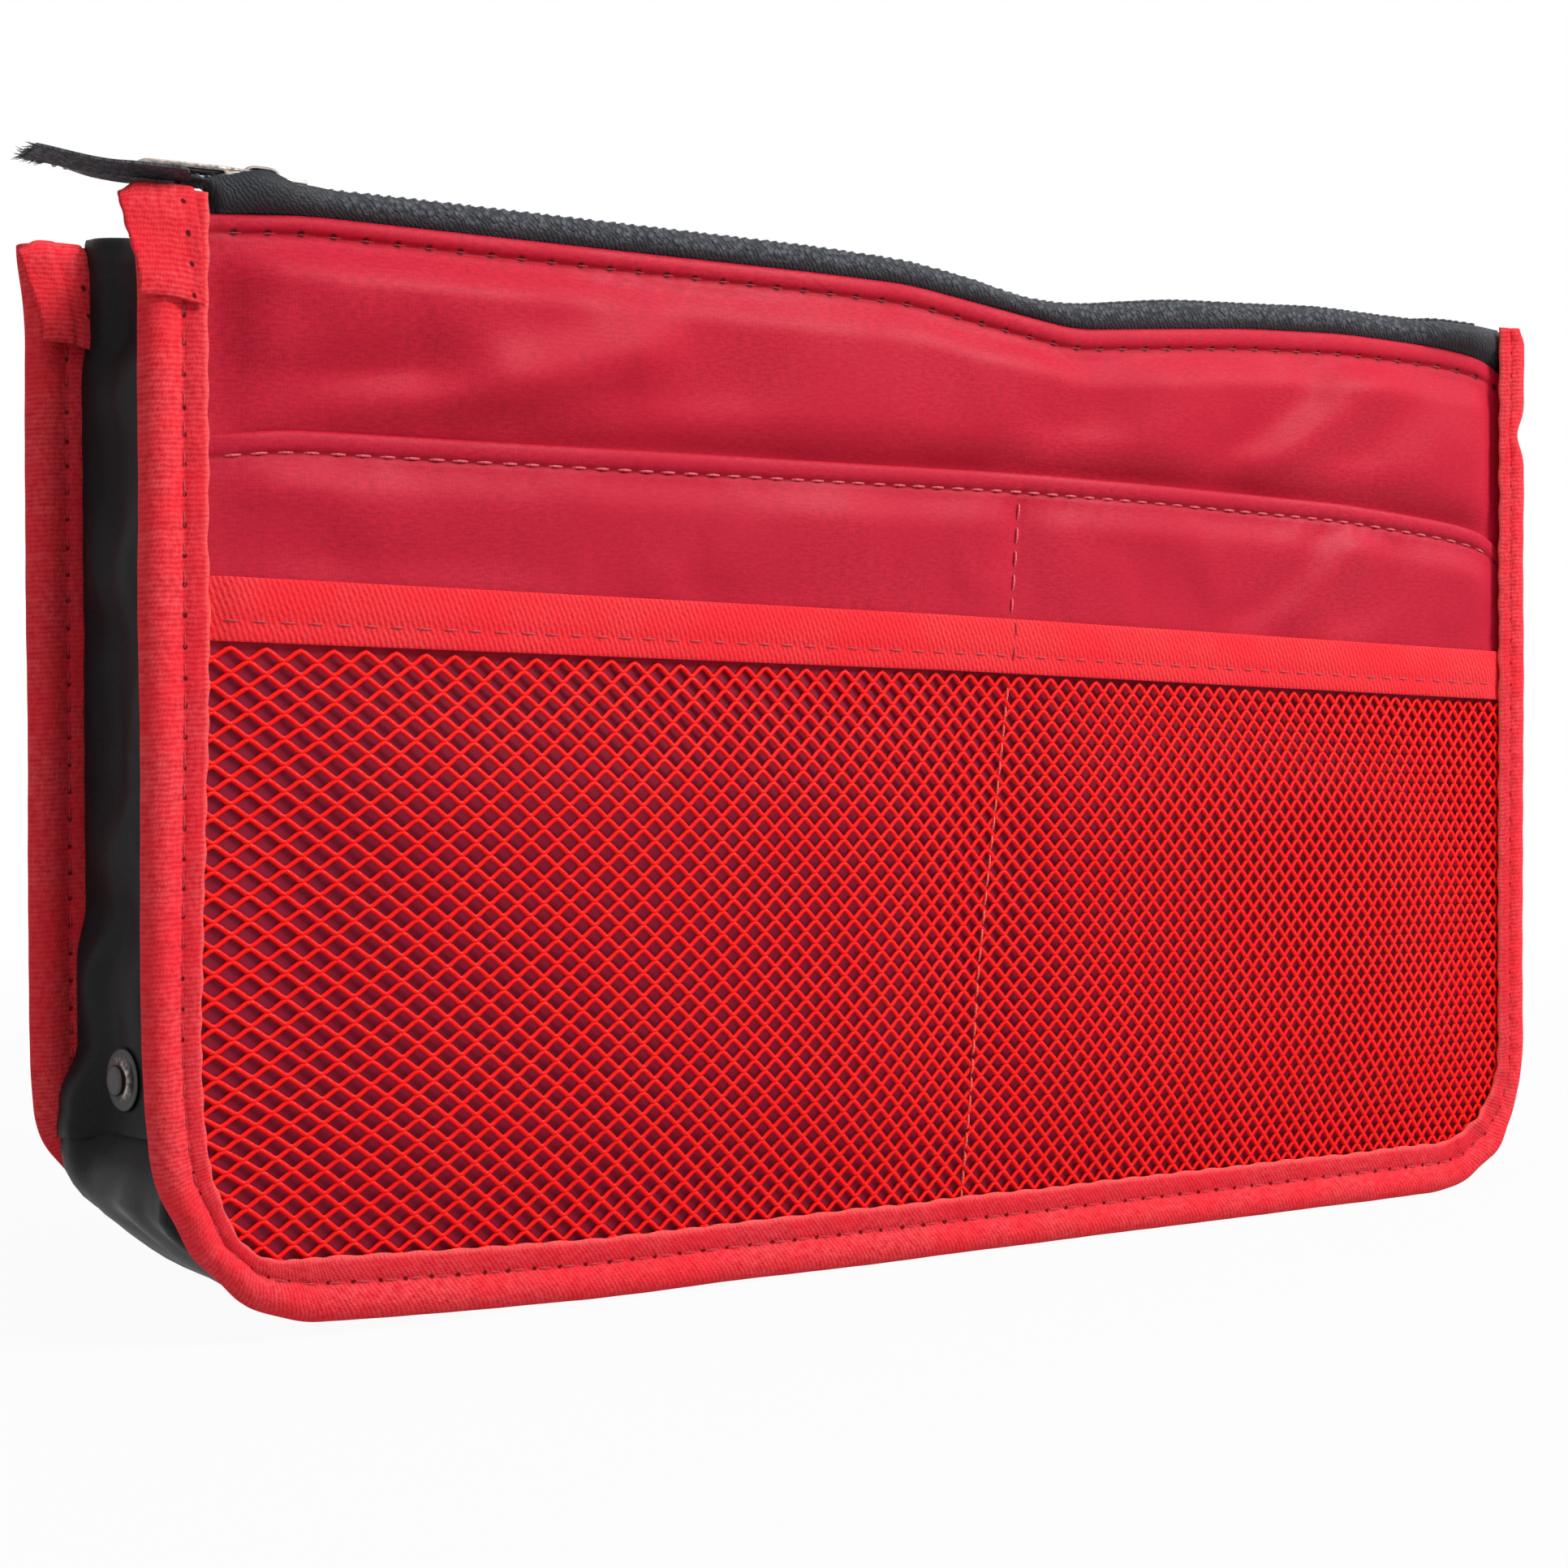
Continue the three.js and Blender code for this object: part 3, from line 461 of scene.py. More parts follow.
def slip_depth(x, z):
    over, under = z - mesh_tape_top(x), slip_top(x) - SLIP_HEM - z
    sides = inside_front_seams(x, z)
    free = smooth(over / 6) * smooth(under / 5) * sides
    belly = 1.7 * smooth(over / 20) * smooth(under / 7) * sides
    seam = 1 - 0.9 * bell((x - divider(z)) / 5)
    behind_net = 0.7 * net_bulge(x, z)
    mouth = 0.75 * smooth((z - slip_top(x) + 8) / 8) * inside_seams(x, z, 5)
    return SLIP_DEPTH - belly * seam + free * folds(x, z, SLIP_FOLDS) * 0.85 - behind_net - mouth


def net_bulge(x, z):
    """How far the net pocket stands proud, on both sides of its seam."""
    top = mesh_tape_top(x) - 10
    upright = smooth((z - 9) / 26) * smooth((top + 3 - z) / 30)
    side = smooth((INNER_EDGE - np.abs(x)) / 40)
    seam = 1 - 0.8 * bell((x - divider(z)) / 15)
    return 2.6 * upright * side * seam


def net_depth(x, z):
    edge = smooth((INNER_EDGE + 1 - np.abs(x)) / 8)
    return NET_DEPTH - 0.1 - net_bulge(x, z) - 0.25 * edge * np.sin(x / 23 + z / 17) * smooth((z - 10) / 20)


def mesh_tape_depth(x, z):
    free = smooth((INNER_EDGE + 0.5 - np.abs(x)) / 5)
    across = (mesh_tape_top(x) - z) / 10.0
    crown = 0.35 * np.sin(np.pi * np.clip(across, 0, 1)) - 0.2 * bell((across - 0.68) / 0.09)
    wave = 0.35 * np.sin(x / 19.0) + 0.2 * np.sin(x / 7.3 + 1)
    return NET_DEPTH - 0.07 - free * (0.75 + crown + 0.5 * wave * np.clip(across, 0, 1))


print("panel stands proud by", float(np.round(-panel_depth(-60.0, 158.0), 2)), "mm")

# %% [markdown]
# ## Satin layers of a wall
# Two layers show on the front: the padded panel up to the zip, and the slip pocket in front of it.
# Each has a hem, where the cloth is folded under and sewn, so it is twice as thick above the stitches
# and pulled in along them.

# %% Wall layers


def hem_thickness(below, plain, folded, hem):
    """Thickness at a distance below the top edge: double in the hem, and thin along its stitches."""
    in_hem = smooth((hem + 0.5 - below) / 0.8)
    round_edge = 1 - 0.6 * smooth((0.5 - below) / 0.5)
    return (plain + (folded - plain) * in_hem) * round_edge - 0.25 * bell((below - hem) / 0.5)


def layer_grid(top, step_x, levels):
    """Places of a bound layer: x, z and the distance below its top edge, as arrays."""
    x = corner_columns(LAYER_HALF, step_x)
    foot, head = layer_foot(x), top(x)
    z = foot[:, None] + (head - foot)[:, None] * levels[None, :]
    return np.broadcast_to(x[:, None], z.shape), z, head[:, None] - z


def hemmed_levels(share_hidden, fine, hem_share):
    """Row places from 0 to 1: few where the layer is hidden, many where it shows, most in its hem."""
    hidden = np.linspace(0, share_hidden, 10)[:-1]
    shown = np.linspace(share_hidden, 1 - hem_share, fine)
    hem = 1 - hem_share * np.linspace(1, 0, 19)[1:]
    return np.concatenate([hidden, shown, hem])


def hem_relief(below, hem, roll, furrow):
    """Depth that a hem adds: a round roll above its stitches, and a furrow along them."""
    share = np.clip(below / hem, 0, 1)
    return furrow * bell((below - hem) / 0.6) - roll * np.sin(np.pi * share) ** 0.7


def pucker(x, below, hem, pitch, size):
    """Small waves that the thread pulls into the cloth on both sides of a row of stitches."""
    near = bell((below - hem - 0.6) / 2.6)
    slanted = x + 0.5 * below
    return size * near * np.cos(2 * np.pi * slanted / pitch) * (0.6 + 0.4 * np.sin(x / 13.0))


def relaxed_layer(depth_at, low, high, held_at, slack, cap):
    """Relaxes a layer of the front wall between two heights. Gives a function that reads its moves."""
    coarse_x, coarse_z = span(-141, 141, 3.0), span(low, high, 2.4)
    x, z = np.meshgrid(coarse_x, coarse_z, indexing="ij")
    held = (np.abs(x) > INNER_EDGE - 1) | held_at(x, z)
    moves = relaxed(front_place(x, depth_at(x, z), z), held, slack, cap)
    print("relaxed by up to", round(float(np.abs(moves).max()), 2), "mm")
    return lambda x, z: read_coarse(moves, coarse_x, coarse_z, x, z)


def held_on_panel(x, z):
    return (z < 140.5) | (z > panel_top(x) - 4.2)


def held_on_slip(x, z):
    return (z < 113) | (z > slip_top(x) - 4) | (np.abs(x - divider(z)) < 1.6)


x, z, below = layer_grid(panel_top, 1.0, hemmed_levels(0.74, 36, 0.042))
hem = panel_hem(x)
settled = relaxed_layer(panel_depth, 138, 177, held_on_panel, 0.012, 1.3)(x, z)
settled = settled * smooth((z - 139) / 4)[..., None] * smooth((below - hem - 0.8) / 2)[..., None]
sewn = hem_relief(below, hem, 0.55, 0.4) + pucker(x, below, hem, PANEL_PITCH, 0.14)
depth = panel_depth(x, z) + sewn * inside_seams(x, z, 4)
panel = sheet_piece("front_panel_cloth", front_place(x, depth, z) + settled * [0.1, 0.3, 0.1],
                    hem_thickness(below, 0.5, 0.8, hem), "front_wall", joined(x, z, below - hem))
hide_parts("front_panel")

x, z, below = layer_grid(slip_top, 1.0, hemmed_levels(0.5, 42, 0.048))
settled = relaxed_layer(slip_depth, 108, 144, held_on_slip, 0.01, 0.5)(x, z)
inwards = 0.6 * np.minimum(settled[..., 1] * smooth((z - 110) / 4), 0.12)
seam_pull = 0.3 * bell((x - divider(z)) / 0.9) * smooth((z - mesh_tape_top(x)) / 3)
sewn = hem_relief(below, SLIP_HEM, 0.45, 0.3) + pucker(x, below, SLIP_HEM, SLIP_PITCH, 0.13) + seam_pull
depth = slip_depth(x, z) + inwards + sewn * inside_seams(x, z, 4)
slip = sheet_piece("front_slip_pocket_cloth", front_place(x, depth, z),
                   hem_thickness(below, 0.4, 0.7, SLIP_HEM), "front_wall", joined(x, z, below - SLIP_HEM))
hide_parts("front_slip_pocket")
print("satin layers:", len(panel.data.polygons) + len(slip.data.polygons), "faces")

# %% [markdown]
# ## Mesh pocket
# The net is knitted: each cord runs across the bag in a zigzag and hangs on the cords above and
# below it. A see-through texture would be quicker, but the cords cast shadows on the satin behind
# them, and that shading is most of what the pocket looks like. So each cord is a real thin tube.

# %% Net cords
CORD_SIDES, ROW_GAP, NET_TOP = 5, 2.04, 110.4


def zigzag(t):
    """A triangle wave with blunt tips, which is what a knitted cord does between its knots."""
    wave = 2 / np.pi * np.arcsin(0.99 * np.sin(2 * np.pi * t))
    return np.clip(1.22 * wave, -1, 1)


def cord_phase(x):
    """Number of meshes from the left: they are wide at the left and narrow towards the right."""
    return (x + 150) / 6.35 + 0.00062 * (x + 150) ** 1.9


def add_tube(line, half_width, half_depth, points, faces):
    """Adds a thin flattened tube along a line on the front wall."""
    out = np.array([0.0, -1.0, 0.0])
    aside = np.cross(headings(line), out)
    turns = round_turn(CORD_SIDES)
    ring = aside[:, None, :] * half_width * np.cos(turns)[None, :, None]
    ring = ring + out * half_depth * np.sin(turns)[None, :, None]
    faces.extend(turned_over(tube_faces(len(line), CORD_SIDES, len(points))).tolist())
    points.extend((line[:, None, :] + ring).reshape(-1, 3).tolist())


points, faces = [], []
net_rows = int((NET_TOP - LAYER_FOOT) / ROW_GAP)
even = np.linspace(-HALF_WIDTH, HALF_WIDTH, 3001)
for row in range(1, net_rows):
    base = LAYER_FOOT + row * ROW_GAP
    over = max(0.0, LAYER_RADIUS - (base - LAYER_FOOT))
    reach = LAYER_HALF - LAYER_RADIUS + math.sqrt(max(0.0, LAYER_RADIUS**2 - over**2)) - 2.5
    x = np.interp(np.arange(cord_phase(-reach), cord_phase(reach), 0.125), cord_phase(even), even)
    share = (base - LAYER_FOOT) / (NET_TOP - LAYER_FOOT)
    height = LAYER_FOOT + share * (mesh_tape_top(x) - 9.0 - LAYER_FOOT)
    z = height + 0.43 * ROW_GAP * (-1) ** row * zigzag(cord_phase(x))
    z = z + 0.35 * waver(joined(x, base), 16.0, 3.0)
    ripple = 0.12 * (-1) ** row * np.cos(2 * np.pi * cord_phase(x))
    add_tube(front_place(x, net_depth(x, z) + ripple, z), 0.46, 0.3, points, faces)
net = mesh_piece("front_net_cords", points, faces, "front_wall", np.asarray(points)[:, [0, 2]])
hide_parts("front_mesh_net")
print("net:", net_rows - 1, "cords,", len(faces), "faces")

# %% Grosgrain tape over the net's upper edge
MESH_TAPE_WIDTH = 10.0
x = span(-LAYER_HALF, LAYER_HALF, 1.5)[:, None]
share = np.array([0, 0.02, 0.05, 0.12, 0.22, 0.3, 0.35, 0.42, 0.55, 0.7, 0.85, 0.95, 0.98, 1.0])[None, :]
low = mesh_tape_top(x) - MESH_TAPE_WIDTH
z = low + MESH_TAPE_WIDTH * share
x = np.broadcast_to(x, z.shape)
edge = np.concatenate([[0.5, 0.8], np.ones(share.size - 4), [0.8, 0.5]])
tape = sheet_piece("front_mesh_tape_cloth", front_place(x, mesh_tape_depth(x, z), z),
                   0.5 * edge[None, :], "front_wall", joined(x, z - low))
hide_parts("front_mesh_tape")
print("mesh tape from", round(float(low.min()), 1), "mm up")

# %% [markdown]
# ## Binding
# A twill tape is folded over the raw edges of all the layers and sewn through. It is a channel that
# turns two corners, so a curve with a bevel object would do, but only a grid lets the lip pucker at
# each stitch and the fold flare at the top, where the tape's loose end is turned down.

# %% The line of a wall's edge
CORNER = 29.0
EDGE_PARTS = (HEIGHT - CORNER, math.pi / 2 * CORNER, 2 * (HALF_WIDTH - CORNER))
EDGE_LENGTH = 2 * EDGE_PARTS[0] + 2 * EDGE_PARTS[1] + EDGE_PARTS[2]


def edge_point(s):
    """Place on the outer edge at a distance s from the top left, and the direction that points out."""
    side, arc, floor = EDGE_PARTS
    s = np.asarray(s, float)
    first = np.clip((s - side) / arc, 0, 1) * math.pi / 2
    second = np.clip((s - side - arc - floor) / arc, 0, 1) * math.pi / 2
    angle = math.pi + first + second
    along = np.clip(s - side - arc, 0, floor)
    x = -(HALF_WIDTH - CORNER) + along + CORNER * np.cos(angle)
    z = CORNER + CORNER * np.sin(angle)
    z = z + np.maximum(0, side - s) + np.maximum(0, s - (EDGE_LENGTH - side))
    return x, z, angle


# A band's section as (distance from the edge, distance from the middle), from one lip to the other
BAND_WIDTH, STITCH_ROW, BAND_PITCH = 10.5, 6.3, 4.6
BAND_HALF = np.array(((10.5, 2.2), (9.6, 2.42), (8.4, 2.5), (7.3, 2.38), (6.75, 2.2), (6.3, 2.04),
                      (5.85, 2.18), (5.1, 2.52), (4.1, 2.84), (3.1, 2.95), (2.1, 2.72), (1.25, 2.2),
                      (0.62, 1.5), (0.34, 0.75)))
BAND_SECTION = np.concatenate([BAND_HALF * [1, -1], [[0.3, 0.0]], BAND_HALF[::-1]])


def band_width(s, own_corner):
    """Width of the band along the edge. The front wall's lower left corner was sewn narrow."""
    if not own_corner:
        return BAND_WIDTH + 0 * s
    side, arc, _ = EDGE_PARTS
    known = ((0, 1.0), (HEIGHT - 100, 0.97), (HEIGHT - 60, 0.84), (side, 0.76), (side + 0.28 * arc, 0.7),
             (side + 0.46 * arc, 0.6), (side + 0.6 * arc, 0.66), (side + 0.84 * arc, 0.96),
             (side + arc, 1.02), (side + arc + 40, 1.0), (EDGE_LENGTH, 1.0))
    return BAND_WIDTH * np.interp(s, *zip(*known))


def row_inset(s, own_corner):
    """Distance of the stitches from the edge."""
    return STITCH_ROW * (0.2 + 0.8 * band_width(s, own_corner) / BAND_WIDTH)


def band_grid(place, seed, flare, worn):
    """Middle surface of a binding tape and its place on the flat tape."""
    own_corner = place is front_place
    side, arc, _ = EDGE_PARTS
    s = span(1.2, EDGE_LENGTH - 0.4, 1.0)
    x, z, angle = edge_point(s)
    wide = waver(joined(s, seed), 26.0, seed)
    lip = waver(joined(s, 40 + seed), 15.0, seed)
    turn = np.sin(np.clip((s - side) / arc, 0, 1) * math.pi)
    turn = turn + np.sin(np.clip((s - EDGE_LENGTH + side + arc) / arc, 0, 1) * math.pi)
    outward = 0.28 * wide + flare * bell((s - 1.5) / 8.5) - 0.25 * turn * (1 + np.sin(s / 2.1))
    from_right = EDGE_LENGTH - s
    outward = outward - worn * bell((from_right - 22.5) / 3.4)
    outward = outward - 1.6 * smooth((3.4 - from_right) / 3.4)
    narrow = 1.0 - 0.02 * smooth((side + 20 - s) / 40) + 0.03 * lip
    row, full = row_inset(s, own_corner), band_width(s, own_corner)
    grid = np.zeros((len(s), len(BAND_SECTION), 3))
    sewn = np.cos(2 * np.pi * s / BAND_PITCH)
    for k, (inward, depth) in enumerate(BAND_SECTION):
        if inward <= STITCH_ROW:
            reach = inward * row / STITCH_ROW
        else:
            reach = row + (inward - STITCH_ROW) * (full * narrow - row) / (BAND_WIDTH - STITCH_ROW)
        near_edge = smooth((STITCH_ROW - 0.9 - inward) / 5.4)
        lips = smooth((inward - STITCH_ROW + 1.2) / 2.4)
        valley = bell((inward - STITCH_ROW) / 0.8)
        puckers = (0.12 + 0.2 * turn) * (lips + 0.5 * near_edge) * np.sin(2 * np.pi * s / 9.3 + 0.8 * wide)
        body = 0.16 * wide * smooth((inward - 1) / 3) - 0.12 * valley * sewn
        swell = 0.2 * np.sin(2 * np.pi * s / BAND_PITCH + 0.6) * bell((inward - 4.3) / 1.6)
        open_lip = 0.45 * smooth((inward - 7.5) / 2.5) * smooth(lip * 1.4)
        stand = depth + np.sign(depth) * np.maximum(-0.05, puckers + body + swell + open_lip)
        inset = reach - outward * (1 - lips) + 0.14 * np.sin(s * 5.3 + 3 * wide) * (inward > 10)
        grid[:, k] = place(x - inset * np.cos(angle), stand, z - inset * np.sin(angle))
    return grid, joined(s[:, None], BAND_SECTION[None, :, 0])


def band_line(place, depth):
    """The line of stitches on one face of a binding."""
    s = span(3, EDGE_LENGTH - 3, 1.5)
    x, z, angle = edge_point(s)
    inset = row_inset(s, place is front_place)
    line = place(x - inset * np.cos(angle), depth, z - inset * np.sin(angle))
    outward = place(x, depth + np.sign(depth), z) - place(x, depth, z)
    return line, outward


for name, place, body, seed, flare, worn in (("front", front_place, "front_wall", 3.0, 1.2, 2.2),
                                             ("rear", straight, "rear_wall", 8.0, 1.4, 0.3)):
    grid, flat = band_grid(place, seed, flare, worn)
    edge = np.ones(grid.shape[1])
    edge[[0, -1]] = 0.6
    band = sheet_piece(f"{name}_binding_cloth", grid, 0.62 * edge[None, :], body, flat)
    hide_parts(f"{name}_binding")
    rows = [band_line(place, depth) for depth in (-2.4, 2.4)]
    thread = stitch_row(f"{name}_binding_stitches", rows, body, BAND_PITCH, radius=0.2, share=0.6, lift=0.02)
    print(name, "binding:", len(band.data.polygons), "faces,", round(EDGE_LENGTH), "mm long")

# %% Loose ends of the binding


def tape_end(name, place, body, line, top_edges, low_edges, step_at=None):
    """A tape end laid over the top edge. line holds (depth, z) along it, and the edges are places in x.

    A step_at folds its further part up, as a doubled layer would lie.
    """
    line = np.array(line, float)
    t = np.linspace(0, 1, 56)
    run = np.concatenate([[0], np.cumsum(np.linalg.norm(np.diff(line, axis=0), axis=1))])
    rounding = np.array([1, 2, 3, 2, 1]) / 9
    depth, z = (np.convolve(np.pad(np.interp(t * run[-1], run, part), 2, "edge"), rounding, "valid")
                for part in line.T)
    width = top_edges[1] - top_edges[0]
    u = span(0, width, 0.5) / width
    tip = (smooth((z.max() - z) / 17) * (depth < 0))[:, None]
    behind = np.clip((depth + 3.6) / 7.2, 0, 1)[:, None]
    left = top_edges[0] + (low_edges[0] - top_edges[0]) * tip + 4.6 * behind
    right = top_edges[1] + (low_edges[1] - top_edges[1]) * tip + 1.0 * behind
    rounded_corner = 1.7 * bell(u * width / 1.8) * smooth((z[:, None] - z.max() + 4) / 4)
    grid_x = left + (right - left) * u[None, :] + 0.12 * np.sin(z[:, None] * 1.9) * (u == 0)
    crease = 0 if step_at is None else 0.9 * smooth((u - step_at) / 0.07)
    crown = -0.3 * np.sin(np.pi * u) + crease
    ripple = 0.14 * np.sin(z[:, None] / 1.9 + 3 * u)
    ripple = ripple + 0.25 * bell((z[:, None] - 171) / 2.5) * np.sin(4 * u)
    grid_depth = depth[:, None] + (crown + ripple) * smooth(-depth)[:, None]
    grid_z = z[:, None] + (0.6 * np.sin(2.6 * u + 0.5) - 0.9 * u) * tip - rounded_corner
    grid = place(grid_x, grid_depth, grid_z)
    edge = np.ones(grid.shape[:2])
    edge[:, [0, -1]] = 0.6
    edge[-5:] *= np.array([0.95, 0.85, 0.75, 0.6, 0.4])[:, None]
    flat = joined((t * run[-1])[:, None], (width * u - 3.8)[None, :])
    end = sheet_piece(name, grid, 0.6 * edge, body, flat)


over_front = ((3.3, 170.5), (3.3, 176.4), (2.3, 178.0), (0.6, 178.3), (-1.8, 178.3), (-3.1, 177.5),
              (-3.85, 175), (-3.9, 168), (-3.5, 160.6))
over_rear = ((3.3, 171), (3.3, 176.6), (2.0, 178.1), (-2.4, 178.2), (-4.0, 176.6), (-4.7, 170), (-4.9, 160.4))
under_it = ((3.0, 172), (3.0, 176.2), (1.6, 177.5), (-2.2, 177.4), (-3.4, 176), (-3.75, 170), (-3.85, 162.6))
tape_end("front_binding_end", front_place, "front_wall", over_front,
         (-154.5, -142.1), (-151.0, -140.7))
tape_end("rear_binding_end", straight, "rear_wall", over_rear,
         (-152.4, -140.9), (-148.4, -138.6), 0.5)
tape_end("rear_binding_end_under", straight, "rear_wall", under_it,
         (-148.4, -138.4), (-147.8, -137.9))
print("loose ends laid over")

# %% Stitches on the satin, the mesh tape and the net


def surface_line(x, z, depth_at, place, stand=0.0):
    """A line on a layer, raised off it by stand, and the direction that points out of the wall."""
    line = place(x, depth_at(x, z) - stand, z)
    outward = place(x, depth_at(x, z) - stand - 1.0, z) - line
    return line, outward


across = span(-137.5, 138.5, 1.5)
hem = surface_line(across, panel_top(across) - panel_hem(across), panel_depth, front_place, -0.08)
thread = stitch_row("front_panel_stitches", [hem], "front_wall", PANEL_PITCH,
                    radius=0.2, share=0.66, lift=0.04)
hem = surface_line(across, slip_top(across) - SLIP_HEM, slip_depth, front_place, 0.02)
up = span(116, 139, 1.2)
seam = surface_line(divider(up), up, slip_depth, front_place, 0.12)
thread = stitch_row("front_slip_stitches", [hem, seam], "front_wall", SLIP_PITCH,
                    radius=0.24, share=0.74, lift=0.12)
across = span(-138.5, 138.5, 1.5)
row = surface_line(across, mesh_tape_top(across) - 6.8, mesh_tape_depth, front_place, 0.24)
up = span(107, 118, 1.0)
seam = surface_line(divider(up), up, mesh_tape_depth, front_place, 0.3)
thread = stitch_row("mesh_tape_stitches", [row, seam], "front_wall", 4.6, share=0.66, lift=0.08)
up = span(8.8, 106, 1.5)
seam = surface_line(divider(up), up, net_depth, front_place, 0.3)
thread = stitch_row("net_seam_stitches", [seam], "front_wall", 3.4, radius=0.24, share=0.86, lift=0.1)
print("front wall is sewn")

# %% [markdown]
# ## Rear wall and the layers inside
# The rear wall isn't seen in the photo, so it is kept plain: a padded panel and one slip pocket. The
# black linings and their slip pockets are what a hand meets inside the bag.

# %% Rear wall
rear_top = curve((-150, 175.0), (-60, 175.6), (0, 174.9), (70, 175.5), (150, 175.0))
rear_slip_top = curve((-150, 127.4), (-60, 128.0), (20, 127.3), (90, 128.0), (150, 127.2))
REAR_FOLDS = (((-120, 132), (-70, 168), 8, -0.8), ((-90, 132), (-40, 160), 7, 0.6),
              ((30, 134), (70, 170), 8, 0.7), ((90, 130), (128, 166), 6, -0.9),
              ((108, 130), (138, 158), 6, 0.6))
REAR_SLIP_FOLDS = (((-130, 30), (-60, 110), 9, -1.0), ((-100, 24), (-30, 90), 9, 0.7),
                   ((40, 20), (110, 100), 10, -1.0), ((70, 16), (136, 84), 7, 0.8),
                   ((-20, 40), (40, 110), 12, -0.6))
REAR_HEM = 2.8


def rear_panel_depth(x, z):
    free = smooth((z - rear_slip_top(x)) / 9) * smooth((rear_top(x) - 2.5 - z) / 5) * inside_seams(x, z, 9)
    return PANEL_DEPTH - free * (1.3 + 0.3 * np.sin(x / 27)) + free * folds(x, z, REAR_FOLDS)


def rear_slip_depth(x, z):
    inside = inside_seams(x, z, 20)
    free = smooth((rear_slip_top(x) - 2.6 - z) / 4) * inside
    mouth = 0.4 * smooth((z - rear_slip_top(x) + 8) / 8) * inside
    return SLIP_DEPTH - free * 1.6 + free * np.minimum(folds(x, z, REAR_SLIP_FOLDS), 1.3) - mouth


for name, top, depth_at, node, levels in (
    ("rear_panel_cloth", rear_top, rear_panel_depth, "rear_panel", hemmed_levels(0.7, 26, 0.035)),
    ("rear_slip_pocket_cloth", rear_slip_top, rear_slip_depth, "rear_slip_pocket",
     hemmed_levels(0.12, 44, 0.04)),
):
    x, z, below = layer_grid(top, 2.2, levels)
    depth = depth_at(x, z) + pucker(x, below, REAR_HEM, 5.0, 0.09) * inside_seams(x, z, 4)
    layer = sheet_piece(name, rear_place(x, depth, z), hem_thickness(below, 0.45, 0.9, REAR_HEM), "rear_wall",
                        joined(x, z, below - REAR_HEM))
    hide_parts(node)
    height = float(top(0.0) - LAYER_FOOT) * MM
across = span(-138, 138, 1.5)
rows = [surface_line(across, rear_top(across) - REAR_HEM, rear_panel_depth, rear_place, 0.3),
        surface_line(across, rear_slip_top(across) - REAR_HEM, rear_slip_depth, rear_place, 0.26)]
stitch_row("rear_satin_stitches", rows, "rear_wall", 4.9, share=0.64, lift=0.08)
print("rear wall is sewn")

# %% Black linings and their pockets
chain_line = curve((-175, 180.9), (-139, 180.6), (-103, 180.6), (-28, 180.1), (-8, 179.4), (5, 177.6),
                   (19, 174.8), (30, 174.5), (42, 176), (54, 177.4), (78, 178.4), (91, 179.1),
                   (111, 178.7), (138, 178.4))
LINING_TOP, FRONT_BOW, REAR_BOW = 175.9, 6.8, 3.0
POCKET_HALF, POCKET_FOOT, POCKET_RADIUS = 108.0, 24, 12


def front_lining_top(x):
    """The front lining dips where the zip does."""
    return LINING_TOP + np.minimum(0, chain_line(x) - 180.0)


def rear_lining_top(x):
    return LINING_TOP + 0 * x


def lining_bow(x, z, size):
    """How far a lining hangs out into the bag."""
    return size * smooth((INNER_EDGE - np.abs(x)) / 60) * smooth((z - 10.5) / 40)


def pocket_slack(x, z):
    """0 along the seams of an inner pocket and 1 where it hangs free."""
    return smooth((POCKET_HALF - np.abs(x)) / 20) * smooth((z - 30) / 40)


for name, place, body, head, size in (("front", front_place, "front_wall", front_lining_top, FRONT_BOW),
                                      ("rear", rear_place, "rear_wall", rear_lining_top, REAR_BOW)):
    x, z, below = layer_grid(head, 3.0, hemmed_levels(0.05, 34, 0.035))
    ripples = 0.5 * waver(joined(x, z), 34.0, 5.0) * inside_seams(x, z, 25)
    depth = LINING_DEPTH + lining_bow(x, z, size) + ripples * smooth((head(x) - 8 - z) / 20)
    layer = sheet_piece(f"{name}_lining_cloth", place(x, depth, z), 0.35, body, joined(x, z))
    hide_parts(f"{name}_lining")
    u = corner_columns(POCKET_HALF, 3.0)
    over = np.maximum(0, np.abs(u) - (POCKET_HALF - POCKET_RADIUS))
    foot = POCKET_FOOT + POCKET_RADIUS - np.sqrt(np.maximum(0, POCKET_RADIUS**2 - over**2))
    top = 118 - 0.8 * np.cos(u / 30.0)
    z = foot[:, None] + (top - foot)[:, None] * hemmed_levels(0.03, 30, 0.06)[None, :]
    x = np.broadcast_to(u[:, None], z.shape)
    swell = pocket_slack(x, z) * (0.5 + 0.45 * waver(joined(x, z), 30.0, 9.0))
    depth = LINING_DEPTH + 1.0 + lining_bow(x, z, size) + np.maximum(swell, 0)
    pocket = sheet_piece(f"{name}_inner_pocket_cloth", place(x, depth, z),
                         hem_thickness(top[:, None] - z, 0.35, 0.75, 5.0), body, joined(x, z))
    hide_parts(f"{name}_inner_pocket")
    rows = []
    up = span(36, 112, 1.5)
    for x, z in ((span(-100, 100, 2), 113.4), (-106.5, up), (106.5, up)):
        x, z = np.broadcast_arrays(x, z)
        depth = LINING_DEPTH + 1.25 + lining_bow(x, z, size) + 0.5 * pocket_slack(x, z)
        line = place(x, depth, z)
        rows.append((line, place(x, depth + 1, z) - line))
    stitch_row(f"{name}_pocket_stitches", rows, body, 4.6, share=0.64, lift=0.05)
print("linings and inner pockets hung")

